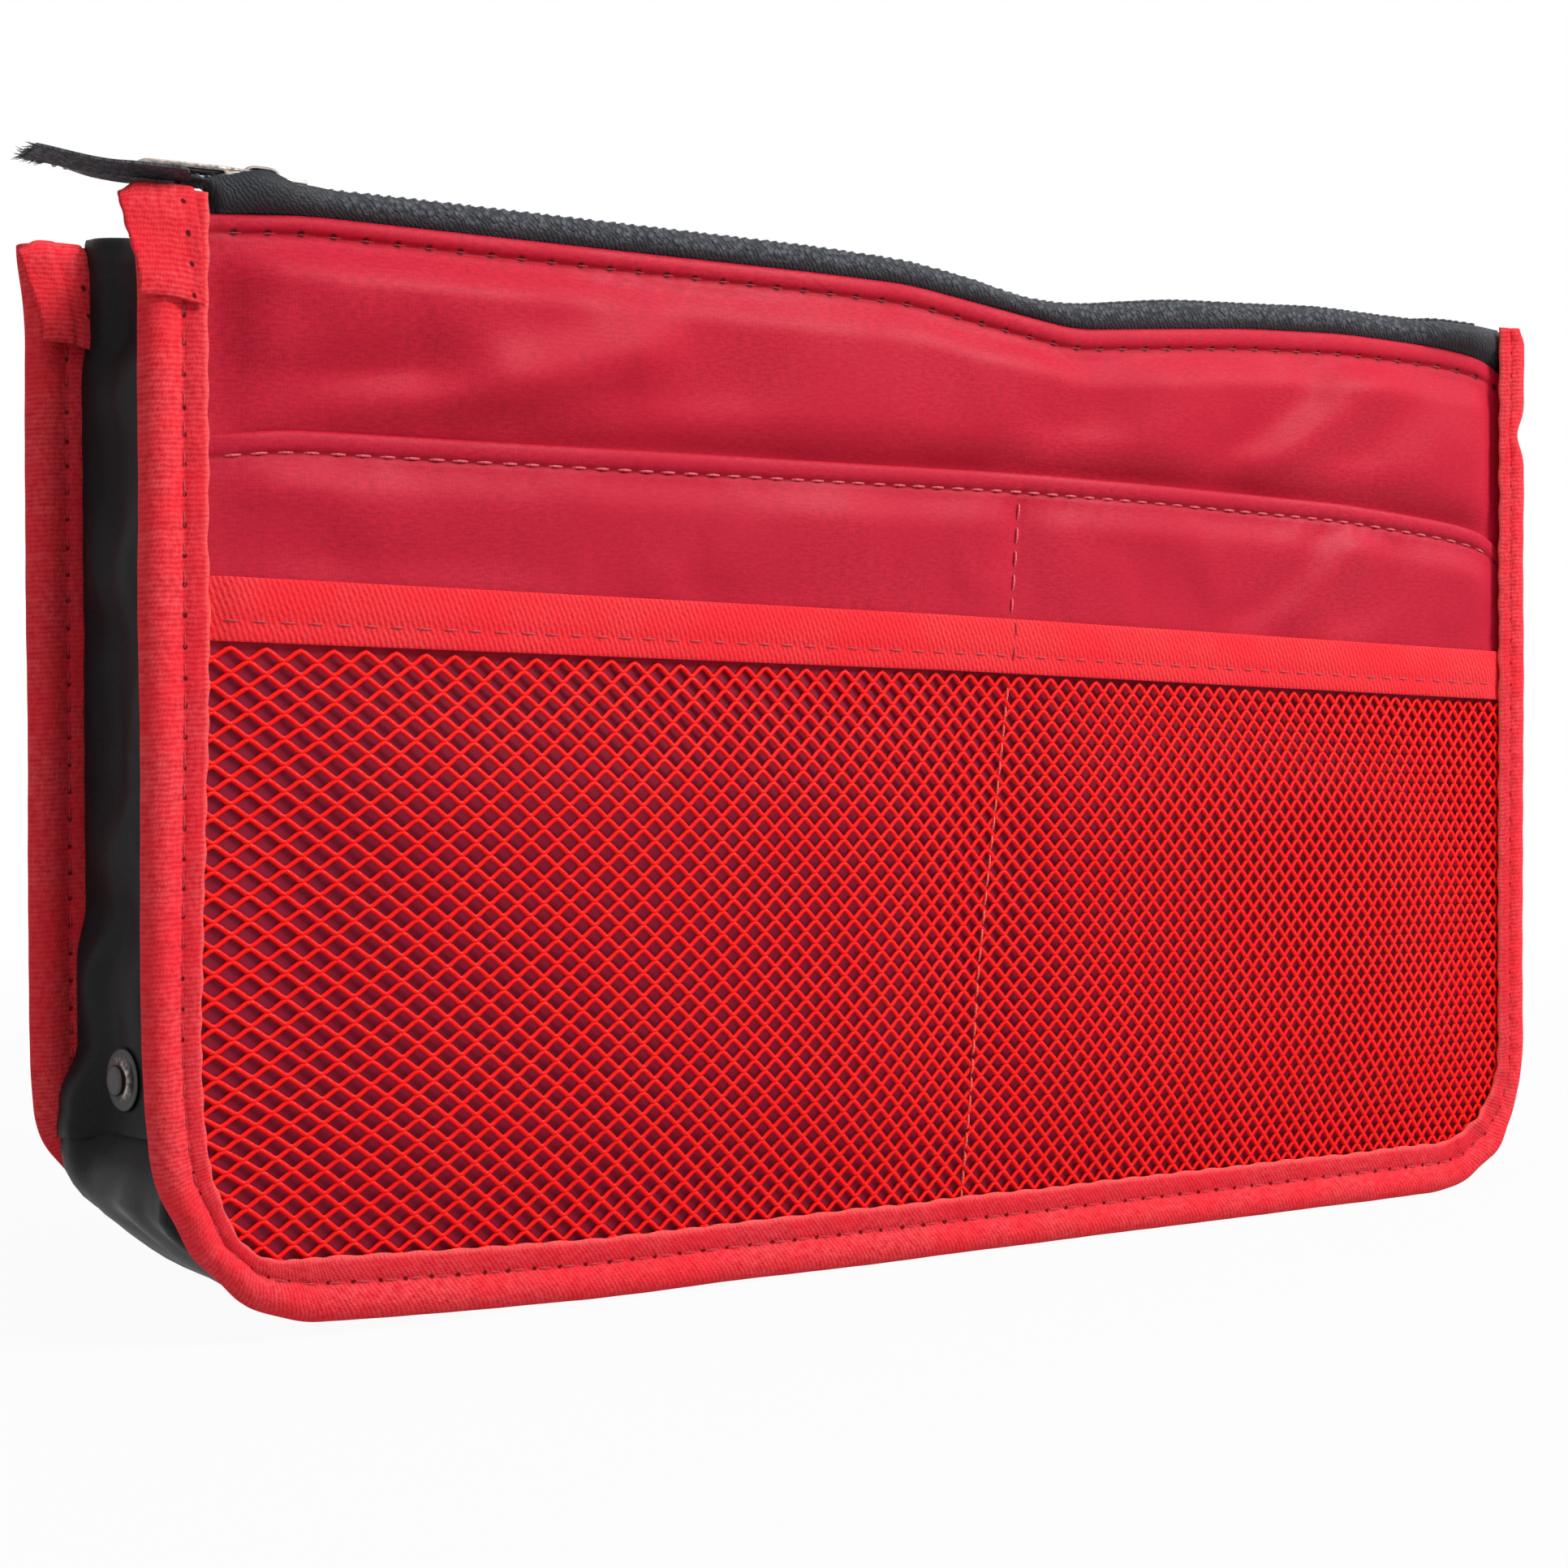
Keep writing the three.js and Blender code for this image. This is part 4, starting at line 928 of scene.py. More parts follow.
# %% [markdown]
# ## Gusset
# The two walls are joined by black nylon that folds inwards like a paper bag. Each side is one sheet
# over two stiffened halves and bends at its crease. The base crumples when the bag folds flat; here it
# rides on the front wall.

# %% Gusset sides
SEAM_X, SEAM_Y, CREASE_IN, SIDE_FOOT = 141.0, 25.75, 3.16, 26.6
SNAP_Y, SNAP_HEIGHT = 10.9, 37.2
GUSSET_FOLDS = (((-17, 44), (-12, 150), 3.4, 0.75), ((12, 60), (17, 166), 3.2, -0.6),
                ((-20, 110), (-7, 172), 3.6, -0.7), ((20, 34), (9, 96), 3.4, 0.55))


def side_plane(y):
    """Distance of a gusset side from the middle of the bag, with its crease in the middle."""
    return SEAM_X - CREASE_IN * (1 - np.sqrt((y / SEAM_Y) ** 2 + 0.0018))


def side_top(y):
    return 175.9 + 3.0 * smooth((y - 1) / 20) - 0.9 * bell(y / 9.0) + 0.25 * np.sin(y / 4.0)


def foot_swell(y, z):
    """The gusset's foot is pushed out over the bindings, most of all over the rear one."""
    low = 2.0 * smooth((68 - z) / 12) + 3.3 * smooth((42 - z) / 9)
    rear = low * smooth((y - 14) / 7) * smooth((26.3 - y) / 1.1)
    front = 2.0 * smooth((-18 - y) / 5) * smooth((50 - z) / 14) * smooth((y + 26.3) / 1.5)
    return rear + front


# points crowd at the crease, where the cloth turns most
columns = np.concatenate([span(-26.0, 26.0, 1.15), [0.7, 1.4, 2.2, 3], [-0.7, -1.4, -2.2, -3]])
columns = np.unique(np.round(columns, 3))
for name, sign, seed in (("left", -1.0, 4.0), ("right", 1.0, 11.0)):
    levels = np.concatenate([np.linspace(0, 0.93, 66), 1 - 0.07 * np.linspace(1, 0, 14)[1:]])
    z = SIDE_FOOT + (side_top(columns) - SIDE_FOOT)[:, None] * levels[None, :]
    y = np.broadcast_to(columns[:, None], z.shape)
    coarse_y, coarse_z = span(-25.8, 25.8, 2.6), span(30, 176, 4.0)
    cy, cz = np.meshgrid(coarse_y, coarse_z, indexing="ij")
    uneven = 0.3 * waver(joined(cy, cz), 22.0, seed)
    held = (np.abs(cy) > 25.0) | (np.abs(cy) < 1.4) | (cz < 32) | (cz > side_top(cy) - 3)
    moves = relaxed(joined(sign * (side_plane(cy) + uneven), cy, cz), held, 0.03, 1.0)
    free = smooth((25.5 - np.abs(y)) / 5) * smooth(np.abs(y) / 4) * smooth((z - 34) / 12)
    near_snap = 1 - bell(np.hypot(np.abs(y) - SNAP_Y, z - SNAP_HEIGHT) / 9)
    moved = read_coarse(moves, coarse_y, coarse_z, y, z) * (free * near_snap)[..., None]
    depth = 0.45 * waver(joined(y, z), 24.0, seed) + folds(y, z, GUSSET_FOLDS)
    overlap = 0.42 * smooth((31.5 - z) / 3) + foot_swell(y, z)
    if name == "left":
        # the rear half passes behind the loose end of the rear binding
        tucked = smooth((y - 2) / 9) * (1 - 0.75 * smooth((y - 16) / 7))
        overlap = overlap - 3.6 * tucked * smooth((z - 156) / 6)
    grid = joined(sign * (side_plane(y) + depth * free * near_snap + overlap), y, z)
    side = sheet_piece(f"{name}_gusset_cloth", grid + moved * [1.0, 0.3, 0.3],
                       hem_thickness(side_top(columns)[:, None] - z, 0.45, 0.8, 5.0), None, joined(y, z))
    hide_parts(f"{name}_gusset_front", f"{name}_gusset_rear")
    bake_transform(side)
    print(name, "gusset side:", len(side.data.polygons), "faces")

# %% Gusset base
ARC, BASE_HALF, BASE_HALF_FLAT = 20.0, 26.0, 27
quarter, straight_run = math.pi / 2 * ARC, EDGE_PARTS[2]
path_length = math.pi * ARC + straight_run
u = span(0, path_length, 2.1)
v = np.concatenate([-np.linspace(1, 0, 18) ** 0.9, (np.linspace(0, 1, 18) ** 0.9)[1:]])
turned = np.clip(u / quarter, 0, 1) + np.clip((u - quarter - straight_run) / quarter, 0, 1)
angle = math.pi + turned * math.pi / 2
middle_x = -(HALF_WIDTH - CORNER) + np.clip(u - quarter, 0, straight_run)
from_seam = 1 - np.abs(v)[None, :]
from_end = np.minimum(u, path_length - u)[:, None]
flat_place = joined(u[:, None], v[None, :] * BASE_HALF_FLAT)
wrinkle = 0.5 * waver(flat_place, 15.0, 6.0) + 0.3 * waver(flat_place, 6.0, 7.0)
corner_folds = np.sin(angle * 2)[:, None] ** 2 * 0.5 * np.sin(v[None, :] * 9.0) * smooth(from_seam * 4)
# reach of the base from the middle of its corner's turn: from the photo in its middle, and below the
# gusset sides at its ends
outline = np.interp(from_end, (0, 4.2, 9.4, 15.4, 19.2, 22.3, 26.5, 30.7, 42),
                    (25.3, 26.2, 25.4, 24.0, 24.2, 24.6, 25.8, 27.6, 28.7))
bulge = smooth(from_seam / np.where(v > 0, 0.12 - 0.07 * smooth((13 - from_end) / 8), 0.2))
swollen = ARC - 0.3 + (outline - ARC + 0.3) * bulge
base_y = v * BASE_HALF
below_side = (side_plane(base_y) + foot_swell(base_y, 29.0) - SEAM_X + ARC - 0.1)[None, :]
reach = below_side + (swollen - below_side) * smooth(from_end / 9)
reach = reach - np.maximum(-0.4, wrinkle + corner_folds) * smooth(from_seam * 5) * smooth(from_end / 12)
grid = joined(middle_x[:, None] + reach * np.cos(angle)[:, None],
              base_y[None, :],
              CORNER + reach * np.sin(angle)[:, None])
grid[..., 2] = np.maximum(grid[..., 2], 0.3)
base = sheet_piece("gusset_base_cloth", grid, 0.45, "front_wall", flat_place)
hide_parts("gusset_base")
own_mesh(base)
print("base:", len(base.data.polygons), "faces, down to", round(float(grid[..., 2].min()), 2), "mm")

# %% [markdown]
# ## Press studs
# Pressed metal is turned about an axis, so each part is a profile spun round, with enough sides that
# its rim catches the light as a clean ring. They sit on the stiff halves and ride with them.

# %% Press studs
PLATE_LENGTH, PLATE_LEAN = 25.931, math.radians(8.767)
SNAP_ALONG = PLATE_LENGTH - 11.0
RIVET = ((0.0, -0.7), (1.4, -0.7), (1.4, 0.12), (5.0, 0.12))
SOCKET = (*RIVET, (5.35, 0.3), (5.38, 0.6), (5.2, 0.88), (4.9, 1.08), (4.6, 1.3), (4.2, 1.52), (3.8, 1.6),
          (3.3, 1.58), (3.05, 1.45), (2.95, 1.2), (2.95, 0.5), (2.5, 0.42), (0.0, 0.42))
STUD = (*RIVET, (5.35, 0.25), (5.38, 0.5), (5.2, 0.72), (4.85, 0.85), (4.3, 0.72), (3.7, 0.66), (3.1, 0.76),
        (2.6, 1.0), (2.45, 1.3), (2.62, 1.75), (2.5, 2.12), (2.1, 2.3), (1.2, 2.22), (0.0, 2.18))
CAP = ((0.0, -1.86), (1.6, -1.84), (3.2, -1.72), (4.5, -1.5), (5.2, -1.25), (5.38, -1.05), (5.2, -0.92),
       (0.0, -0.92))


def turned_piece(name, profile, origin, axis, body, sides=56):
    """A profile of (radius, height) turned about an axis, as one closed mesh."""
    up = np.asarray(axis, float)
    side = np.cross(up, [0, 0, 1.0])
    other = np.cross(up, side)
    turns = round_turn(sides)
    around = side[None, :] * np.cos(turns)[:, None] + other[None, :] * np.sin(turns)[:, None]
    rings = [origin + up * h + around * r for r, h in profile[1:-1]]
    tips = [[origin + up * profile[end][1]] for end in (0, -1)]
    points = np.concatenate([tips[0], *rings, tips[1]])
    last = 1 + (len(rings) - 1) * sides
    faces = tube_faces(len(rings), sides, 1).tolist()
    faces += [(0, 1 + s, 1 + (s + 1) % sides) for s in range(sides)]
    faces += [(len(points) - 1, last + (s + 1) % sides, last + s) for s in range(sides)]
    return mesh_piece(name, points, faces, body)


for side_name, sign_x in (("left", -1), ("right", 1)):
    for end_name, sign_y in (("front", -1), ("rear", 1)):
        turn = math.atan2(-sign_y * math.cos(PLATE_LEAN), -sign_x * math.sin(PLATE_LEAN))
        sense = sign_x * sign_y
        ahead = np.array([math.cos(turn), math.sin(turn), 0.0])
        out = sense * np.array([-math.sin(turn), math.cos(turn), 0.0])
        spot = np.array([sign_x * SEAM_X, sign_y * SEAM_Y, SNAP_HEIGHT]) + ahead * SNAP_ALONG + out * 0.8
        kind, profile = ("socket", SOCKET) if end_name == "front" else ("stud", STUD)
        node = f"{side_name}_snap_{kind}"
        body = f"{side_name}_{end_name}_half"
        snap = turned_piece(node + "_metal", profile, spot, out, body)
        cap = turned_piece(node + "_cap_metal", CAP, spot, out, body)
        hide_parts(node)
        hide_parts(node + "_cap")
print("four press-stud halves with their caps")

# %% [markdown]
# ## Zip
# The dark band above the satin is the zip's own tape, which stands up and rolls over towards the
# coil. The coil is a nylon thread wound so that its loops hook into each other, so each loop is a
# small rounded bar. At the left the two halves part and run out over the binding as a loose tail.

# %% Zip coil
CHAIN_DEPTH, COIL_PITCH = 2.6, 2.02
SLIDER_X, SLIDER_RUN = -129.2, 258
LOOP_SPINE = (-0.95, -0.8, -0.45, 0.2, 1.1, 1.9, 2.35)
LOOP_HALF_X = (0.1, 0.42, 0.56, 0.46, 0.4, 0.42, 0.2)
LOOP_HALF_Z = (0.12, 0.46, 0.6, 0.56, 0.52, 0.46, 0.2)
LOOP_SIDES = 6


def parted(x):
    """Gap that opens between the two halves of the zip where they leave the slider at its left."""
    return 0.35 * smooth((SLIDER_X + 1 - x) / 6)


def at_far_end(x):
    """1 where the slider stops at the right end: coil and tape stand clear of its plates there."""
    return np.exp(-(((x - SLIDER_X - SLIDER_RUN) / 9) ** 4))


def coil_height(x):
    """Middle of the coil: it stands up between the tapes, and dips where it runs through the slider."""
    dip = 0.55 * np.exp(-(((x - SLIDER_X) / 6.5) ** 4))
    tail = chain_line(x) - 0.1 - dip - 0.35 * smooth((-140 - x) / 8) + 0.9 * smooth((-154 - x) / 14)
    return tail + 0.7 * at_far_end(x)


def coil_loop(x, z, side, split, seed):
    """One loop: a bar across the chain, thick at its hook and thin at its root."""
    lean = 0.12 * math.sin(seed)
    turns = round_turn(LOOP_SIDES)
    rings = []
    for w, a, b in zip(LOOP_SPINE, LOOP_HALF_X, LOOP_HALF_Z):
        depth = CHAIN_DEPTH + side * (w + split)
        rings.append(front_place(x + a * np.cos(turns) + lean * w, depth, z + b * np.sin(turns)))
    return np.concatenate(rings)


for name, side, node in (("front", -1, "zip_teeth_front"), ("rear", 1, "zip_teeth_rear")):
    points, faces = [], []
    places = np.arange(-166.6 + (1.5 * COIL_PITCH if side > 0 else 0), 136.2, COIL_PITCH)
    for k, px in enumerate(places):
        first = len(points)
        points.extend(coil_loop(px, float(coil_height(px)), side, float(parted(px)), 1.7 * k).tolist())
        tube = turned_over(tube_faces(len(LOOP_SPINE), LOOP_SIDES, first))
        caps = np.array(hexagon_caps(first, first + (len(LOOP_SPINE) - 1) * LOOP_SIDES))
        faces.extend(np.concatenate([tube, caps[:, ::-1]] if side < 0 else [tube[:, ::-1], caps]).tolist())
    coil = mesh_piece(f"zip_coil_{name}", points, faces, "front_wall")
    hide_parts(node)
    print(name, "coil:", len(places), "loops")

# %% Zip tapes
TAPE_START = {-1: -167.4, 1: -164.2}


def front_tape(x, root, chain):
    """The front half stands up from the panel's edge, rolls out and comes back to the coil."""
    top = panel_top(np.clip(x, -138, 141))
    tall = chain - top
    near = bell((x + 130.8) / 7.0)
    far = at_far_end(x)
    roll = 0.85 + 0.18 * np.sin(x / 11.0) + 1.5 * near + 2.3 * far
    lift = 3.0 * near
    crest = 0.35 * (1 - near) * (1 - far)
    return [(TAPE_DEPTH, top - 8), (TAPE_DEPTH, top - 3), (TAPE_DEPTH - 0.02, top - 0.6), (0.35, top + 0.35),
            (-0.5 * roll, top + 0.24 * tall), (-1.0 * roll, top + 0.45 * tall + 0.3 * lift),
            (-1.05 * roll, top + 0.66 * tall + 0.7 * lift), (-0.85 * roll, top + 0.86 * tall + lift),
            (-0.2 * roll * (1 - near) - 2.0 * near, top + 0.99 * tall + crest + lift * (0.9 - 0.5 * near)),
            ((root - 0.2 * roll) / 2 * (1 - near) - 1.8 * near, chain + 0.15 + 0.2 * lift * (1 - near)),
            (root, chain)]


def rear_tape(x, root, chain):
    """The rear half lies over the lining's edge and slopes up to the coil."""
    top = front_lining_top(x) + 0.35
    back = LINING_DEPTH + lining_bow(x, top, FRONT_BOW)
    hidden = [(LINING_DEPTH + lining_bow(x, top - low, FRONT_BOW) - 0.5, top - low)
              for low in (6.6, 4.4, 2.2)]
    slope = [(back + (root - back) * t,
              top + 0.35 + (chain - top - 0.35) * smooth(t) + 0.25 * np.sin(np.pi * t))
             for t in (0.12, 0.25, 0.4, 0.55, 0.7, 0.82, 0.92, 0.97, 1.0)]
    return [*hidden, (back - 0.3, top + 0.1), (back - 0.2, top + 0.4), *slope]


def tape_section(x, side):
    """Depth and height of one tape half along its width at each x, from its hidden edge to the coil."""
    chain = coil_height(x) - 0.62
    root = CHAIN_DEPTH + side * (2.0 + parted(x))
    wall = front_tape(x, root, chain) if side < 0 else rear_tape(x, root, chain)
    tilt = 0.7 if side < 0 else 0.5 + 1.2 * smooth((-154 - x) / 8)
    tail = []
    for k in range(len(wall)):
        t = 1 - k / (len(wall) - 1)
        curl = 0.3 * np.sin(x / 5.0 + side) * t * smooth((-150 - x) / 6)
        tail.append((0.15 * root + side * 6.6 * t, chain - 0.2 + tilt * t + curl))

    def blended(part, share):
        return np.stack([w[part] * (1 - share) + t[part] * share for w, t in zip(wall, tail)], axis=1)

    return blended(0, smooth((-140.2 - x) / 5.0)), blended(1, smooth((-136.6 - x) / 3.6))


for name, side, node in (("front", -1, "zip_tape_front"), ("rear", 1, "zip_tape_rear")):
    x = np.concatenate([span(TAPE_START[side], -140.5, 1.2), span(-140, -120, 0.5), span(-119, 141, 1.5)])
    depth, z = tape_section(x, side)
    grid = front_place(x[:, None], depth, z)
    steps = np.linalg.norm(np.diff(grid, axis=1), axis=2)
    arc = np.concatenate([np.zeros((len(x), 1)), np.cumsum(steps, axis=1)], axis=1)
    grid = grid + (0.1 * waver(grid, 5.0, 2.0) * smooth((arc - 4) / 4))[..., None] * [0, -1.0, 0.6]
    tape = sheet_piece(f"zip_tape_{name}_cloth", grid if side < 0 else grid[:, ::-1], 0.45, "front_wall",
                       joined(x[:, None], arc))
    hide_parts(node)
    print(name, "tape is", round(float(arc[:, -1].mean()), 1), "mm wide on average")

# %% Frayed ends of the zip tape
FIBRE_TURNS = (0.0, 2.094, 4.189)
rng = np.random.default_rng(5)
points, faces = [], []
for side in (-1, 1):
    end_x = TAPE_START[side] + 0.2
    depth, z = tape_section(np.array([end_x]), side)
    for _ in range(46):
        t = rng.uniform(0, depth.shape[1] - 1)
        k = min(int(t), depth.shape[1] - 2)
        d = depth[0, k] + (t - k) * (depth[0, k + 1] - depth[0, k])
        h = z[0, k] + (t - k) * (z[0, k + 1] - z[0, k]) + rng.uniform(-0.15, 0.15)
        length, sway, droop = rng.uniform(0.8, 2.6), rng.uniform(-0.9, 0.9), rng.uniform(-0.7, 0.5)
        first = len(points)
        for s, radius in ((0.0, 0.09), (0.5, 0.08), (1.0, 0.03)):
            centre = front_place(end_x + 0.3 - length * s, d + sway * s * s, h + droop * s * s)
            for turn in FIBRE_TURNS:
                points.append((centre + [0, radius * math.cos(turn), radius * math.sin(turn)]).tolist())
        faces.extend(turned_over(tube_faces(3, 3, first)).tolist())
fray = mesh_piece("zip_tape_fray", points, faces, "front_wall")
print("frayed threads:", len(faces) // 6)

# %% [markdown]
# ## Slider and pull
# Stamped plates have soft edges all round. A filled 2-D curve with a bevel gives just that, holes
# included, and its mesh is then moved to its height. The slider is two such plates joined by a post,
# with turned-in flanges and a bridge that holds the pull.

# %% Plates from outlines


def plate_mesh(loops, thickness, bevel, low):
    """Points and faces of a flat plate with rounded edges. loops holds its outline, then its holes."""
    outline = bpy.data.curves.new("outline", "CURVE")
    outline.dimensions = "2D"
    outline.fill_mode = "BOTH"
    outline.extrude = (thickness / 2 - bevel) * MM
    outline.bevel_depth = bevel * MM
    outline.bevel_resolution = 2
    outline.offset = -bevel * MM
    for loop in loops:
        spline = outline.splines.new("POLY")
        spline.points.add(len(loop) - 1)
        corners = [(a * MM, b * MM, 0, 1) for a, b in loop]
        spline.points.foreach_set("co", np.array(corners, np.float32).ravel())
        spline.use_cyclic_u = True
    holder = bpy.data.objects.new("outline", outline)
    bpy.context.scene.collection.objects.link(holder)
    bpy.context.view_layer.update()
    made = bpy.data.meshes.new_from_object(holder.evaluated_get(bpy.context.evaluated_depsgraph_get()))
    points = np.array([v.co for v in made.vertices]) / MM + [0, 0, low + thickness / 2]
    faces = [tuple(p.vertices) for p in made.polygons]
    bpy.data.objects.remove(holder)
    bpy.data.meshes.remove(made)
    return points, faces


def bar_mesh(line, width, height, sides=10):
    """A bar with rounded section along a line in X and Z, wide in Y."""
    line = np.asarray(line, float)
    ahead = headings(line)
    up = joined(-ahead[:, 2], 0 * ahead[:, 0], ahead[:, 0])
    points = []
    for centre, lift in zip(line, up):
        for s in range(sides):
            turn = 2 * math.pi * (s + 0.5) / sides
            c, t = math.cos(turn), math.sin(turn)
            box = max(abs(c), abs(t)) ** 0.6
            points.append(centre + np.array([0, 1, 0]) * width / 2 * c / box + lift * height / 2 * t / box)
    last = (len(line) - 1) * sides
    caps = [list(range(sides)), list(range(last + sides - 1, last - 1, -1))]
    return np.array(points), tube_faces(len(line), sides).tolist() + caps


def metal_piece(name, parts, body, where):
    """One piece from several meshes, with a material number for each of them."""
    points, faces, finishes = [], [], []
    for (part_points, part_faces), number in parts:
        offset = len(points)
        points.extend((np.asarray(part_points) + where).tolist())
        faces.extend([tuple(offset + k for k in face) for face in part_faces])
        finishes.extend([number] * len(part_faces))
    piece = mesh_piece(name, points, faces, body)
    piece.data.polygons.foreach_set("material_index", finishes)
    piece.data.set_sharp_from_angle(angle=math.radians(40.0))
    return piece


# %% Slider
CHAIN_PLACE = [SLIDER_X, CHAIN_DEPTH - FLANGE_Y, 0.0]
TOP_LOW, FLOOR_LOW = 180.85, 177.2


def slider_outline(tail_half, nose_half, notch):
    """Outline of a slider plate: narrow at its tail, with two shoulders and a notch at its nose."""
    upper = [(7.2, 0.0), (7.1, tail_half * 0.55), (6.6, tail_half * 0.9), (5.6, tail_half),
             (2.0, tail_half + 0.15), (-1.5, (tail_half + nose_half) / 2), (-4.4, nose_half),
             (-5.9, nose_half * 0.97), (-6.8, nose_half * 0.8), (-7.2, nose_half * 0.5),
             (-7.0, nose_half * 0.24), (-7.2 + notch, 0.0)]
    return upper + [(a, -b) for a, b in upper[-2:0:-1]]


def arch(height, foot):
    turns = np.linspace(0, np.pi, 17)
    x = -foot * np.sign(np.cos(turns)) * np.abs(np.cos(turns)) ** 0.62
    z = height * np.sin(turns) ** 0.5
    return joined(x, 0 * x, z)


top_outline = slider_outline(3.0, 3.95, 0.9)
top_plate = plate_mesh([top_outline], 0.75, 0.24, TOP_LOW)
floor_plate = plate_mesh([slider_outline(1.9, 2.6, 0.9)], 0.7, 0.22, FLOOR_LOW)
painted = plate_mesh([[(a * 0.86, b * 0.8) for a, b in top_outline]], 0.16, 0.06, TOP_LOW + 0.68)
post = plate_mesh([[(-6.1, -0.9), (-3.6, -0.35), (-3.6, 0.35), (-6.1, 0.9)]], TOP_LOW - FLOOR_LOW, 0.15,
                  FLOOR_LOW + 0.3)
flanges = []
for side in (-1, 1):
    edge_x = np.linspace(6.2, -6.2, 13)
    edge_y = side * (np.interp(-edge_x, [-6.2, -2, 4.4, 6.2], [2.75, 3.05, 3.72, 3.6]) - 0.1)
    line = list(zip(edge_x, edge_y)) + list(zip(edge_x[::-1], edge_y[::-1] - side * 0.45))
    flanges.append(plate_mesh([line], 0.75, 0.12, TOP_LOW - 0.42))
bridge = bar_mesh(arch(1.75, 2.7) + [0, 0, TOP_LOW + 0.62], 1.5, 0.6)
bare = [(part, 0) for part in (top_plate, floor_plate, post, *flanges, bridge)]
slider = metal_piece("zip_slider_metal", bare + [(painted, 1)], "zip_slider", CHAIN_PLACE)
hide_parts("zip_slider")
print("slider:", len(slider.data.polygons), "faces")

# %% Pull


def rounded(points, radius, steps=4):
    """Rounds the corners of an outline."""
    result = []
    for k in range(len(points)):
        before, here, after = (np.array(points[(k + d) % len(points)], float) for d in (-1, 0, 1))
        inward, outward = before - here, after - here
        r = min(radius, np.linalg.norm(inward) / 2.1, np.linalg.norm(outward) / 2.1)
        a = here + inward / np.linalg.norm(inward) * r
        b = here + outward / np.linalg.norm(outward) * r
        for t in np.linspace(0, 1, steps + 1):
            result.append(tuple((1 - t) ** 2 * a + 2 * t * (1 - t) * here + t * t * b))
    return result


def circle(x, y, radius, steps=20):
    return [(x + radius * math.cos(t), y + radius * math.sin(t)) for t in round_turn(steps)]


pull_outline = rounded([(0.45, -2.05), (0.45, 2.05), (-4.7, 2.05), (-7.2, 2.6), (-19.8, 2.35), (-19.8, -2.35),
                        (-7.2, -2.6), (-4.7, -2.05)], 1.9)
ring_opening = rounded([(-0.45, -1.1), (-3.85, -1.1), (-3.85, 1.1), (-0.45, 1.1)], 0.4)
inner_rim = rounded([(-6.6, -1.75), (-6.6, 1.75), (-14.8, 1.6), (-14.8, -1.6)], 0.8)
ridge = [inner_rim, [(a * 0.94 - 0.64, b * 0.72) for a, b in inner_rim]]
pull_height = 182.05
parts = [(plate_mesh([pull_outline, ring_opening, circle(-17.2, 0, 1.2)], 0.86, 0.22, pull_height - 0.43), 0)]
parts += [(plate_mesh(ridge, 0.16, 0.05, low), 0) for low in (pull_height + 0.36, pull_height - 0.52)]
pull = metal_piece("zip_pull_metal", parts, "zip_pull", CHAIN_PLACE)
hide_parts("zip_pull")

end_z = float(chain_line(137.4)) - 0.8
outline = rounded([(-1.15, -2.4), (1.15, -2.4), (1.15, 2.4), (-1.15, 2.4)], 0.6)
stop = metal_piece("zip_end_stop_metal", [(plate_mesh([outline], 1.7, 0.35, end_z - 0.85), 0)], "front_wall",
                   [137.45, *CHAIN_PLACE[1:]])
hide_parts("zip_end_stop")
print("pull and end stop ready")

# %% [markdown]
# ## Finishes
# Every finish is a small network of Blender's own textures. Effects that several finishes share are
# node groups that give out a height, a mask or a colour factor, and each material keeps its own
# shader. The cloth groups read the flat place of the fabric, in millimetres.

# %% Node helpers


def linear(red, green, blue):
    """A colour given as it is seen on a screen, as Blender stores it."""
    values = [c / 255 for c in (red, green, blue)]
    return tuple(c / 12.92 if c <= 0.04045 else ((c + 0.055) / 1.055) ** 2.4 for c in values) + (1.0,)


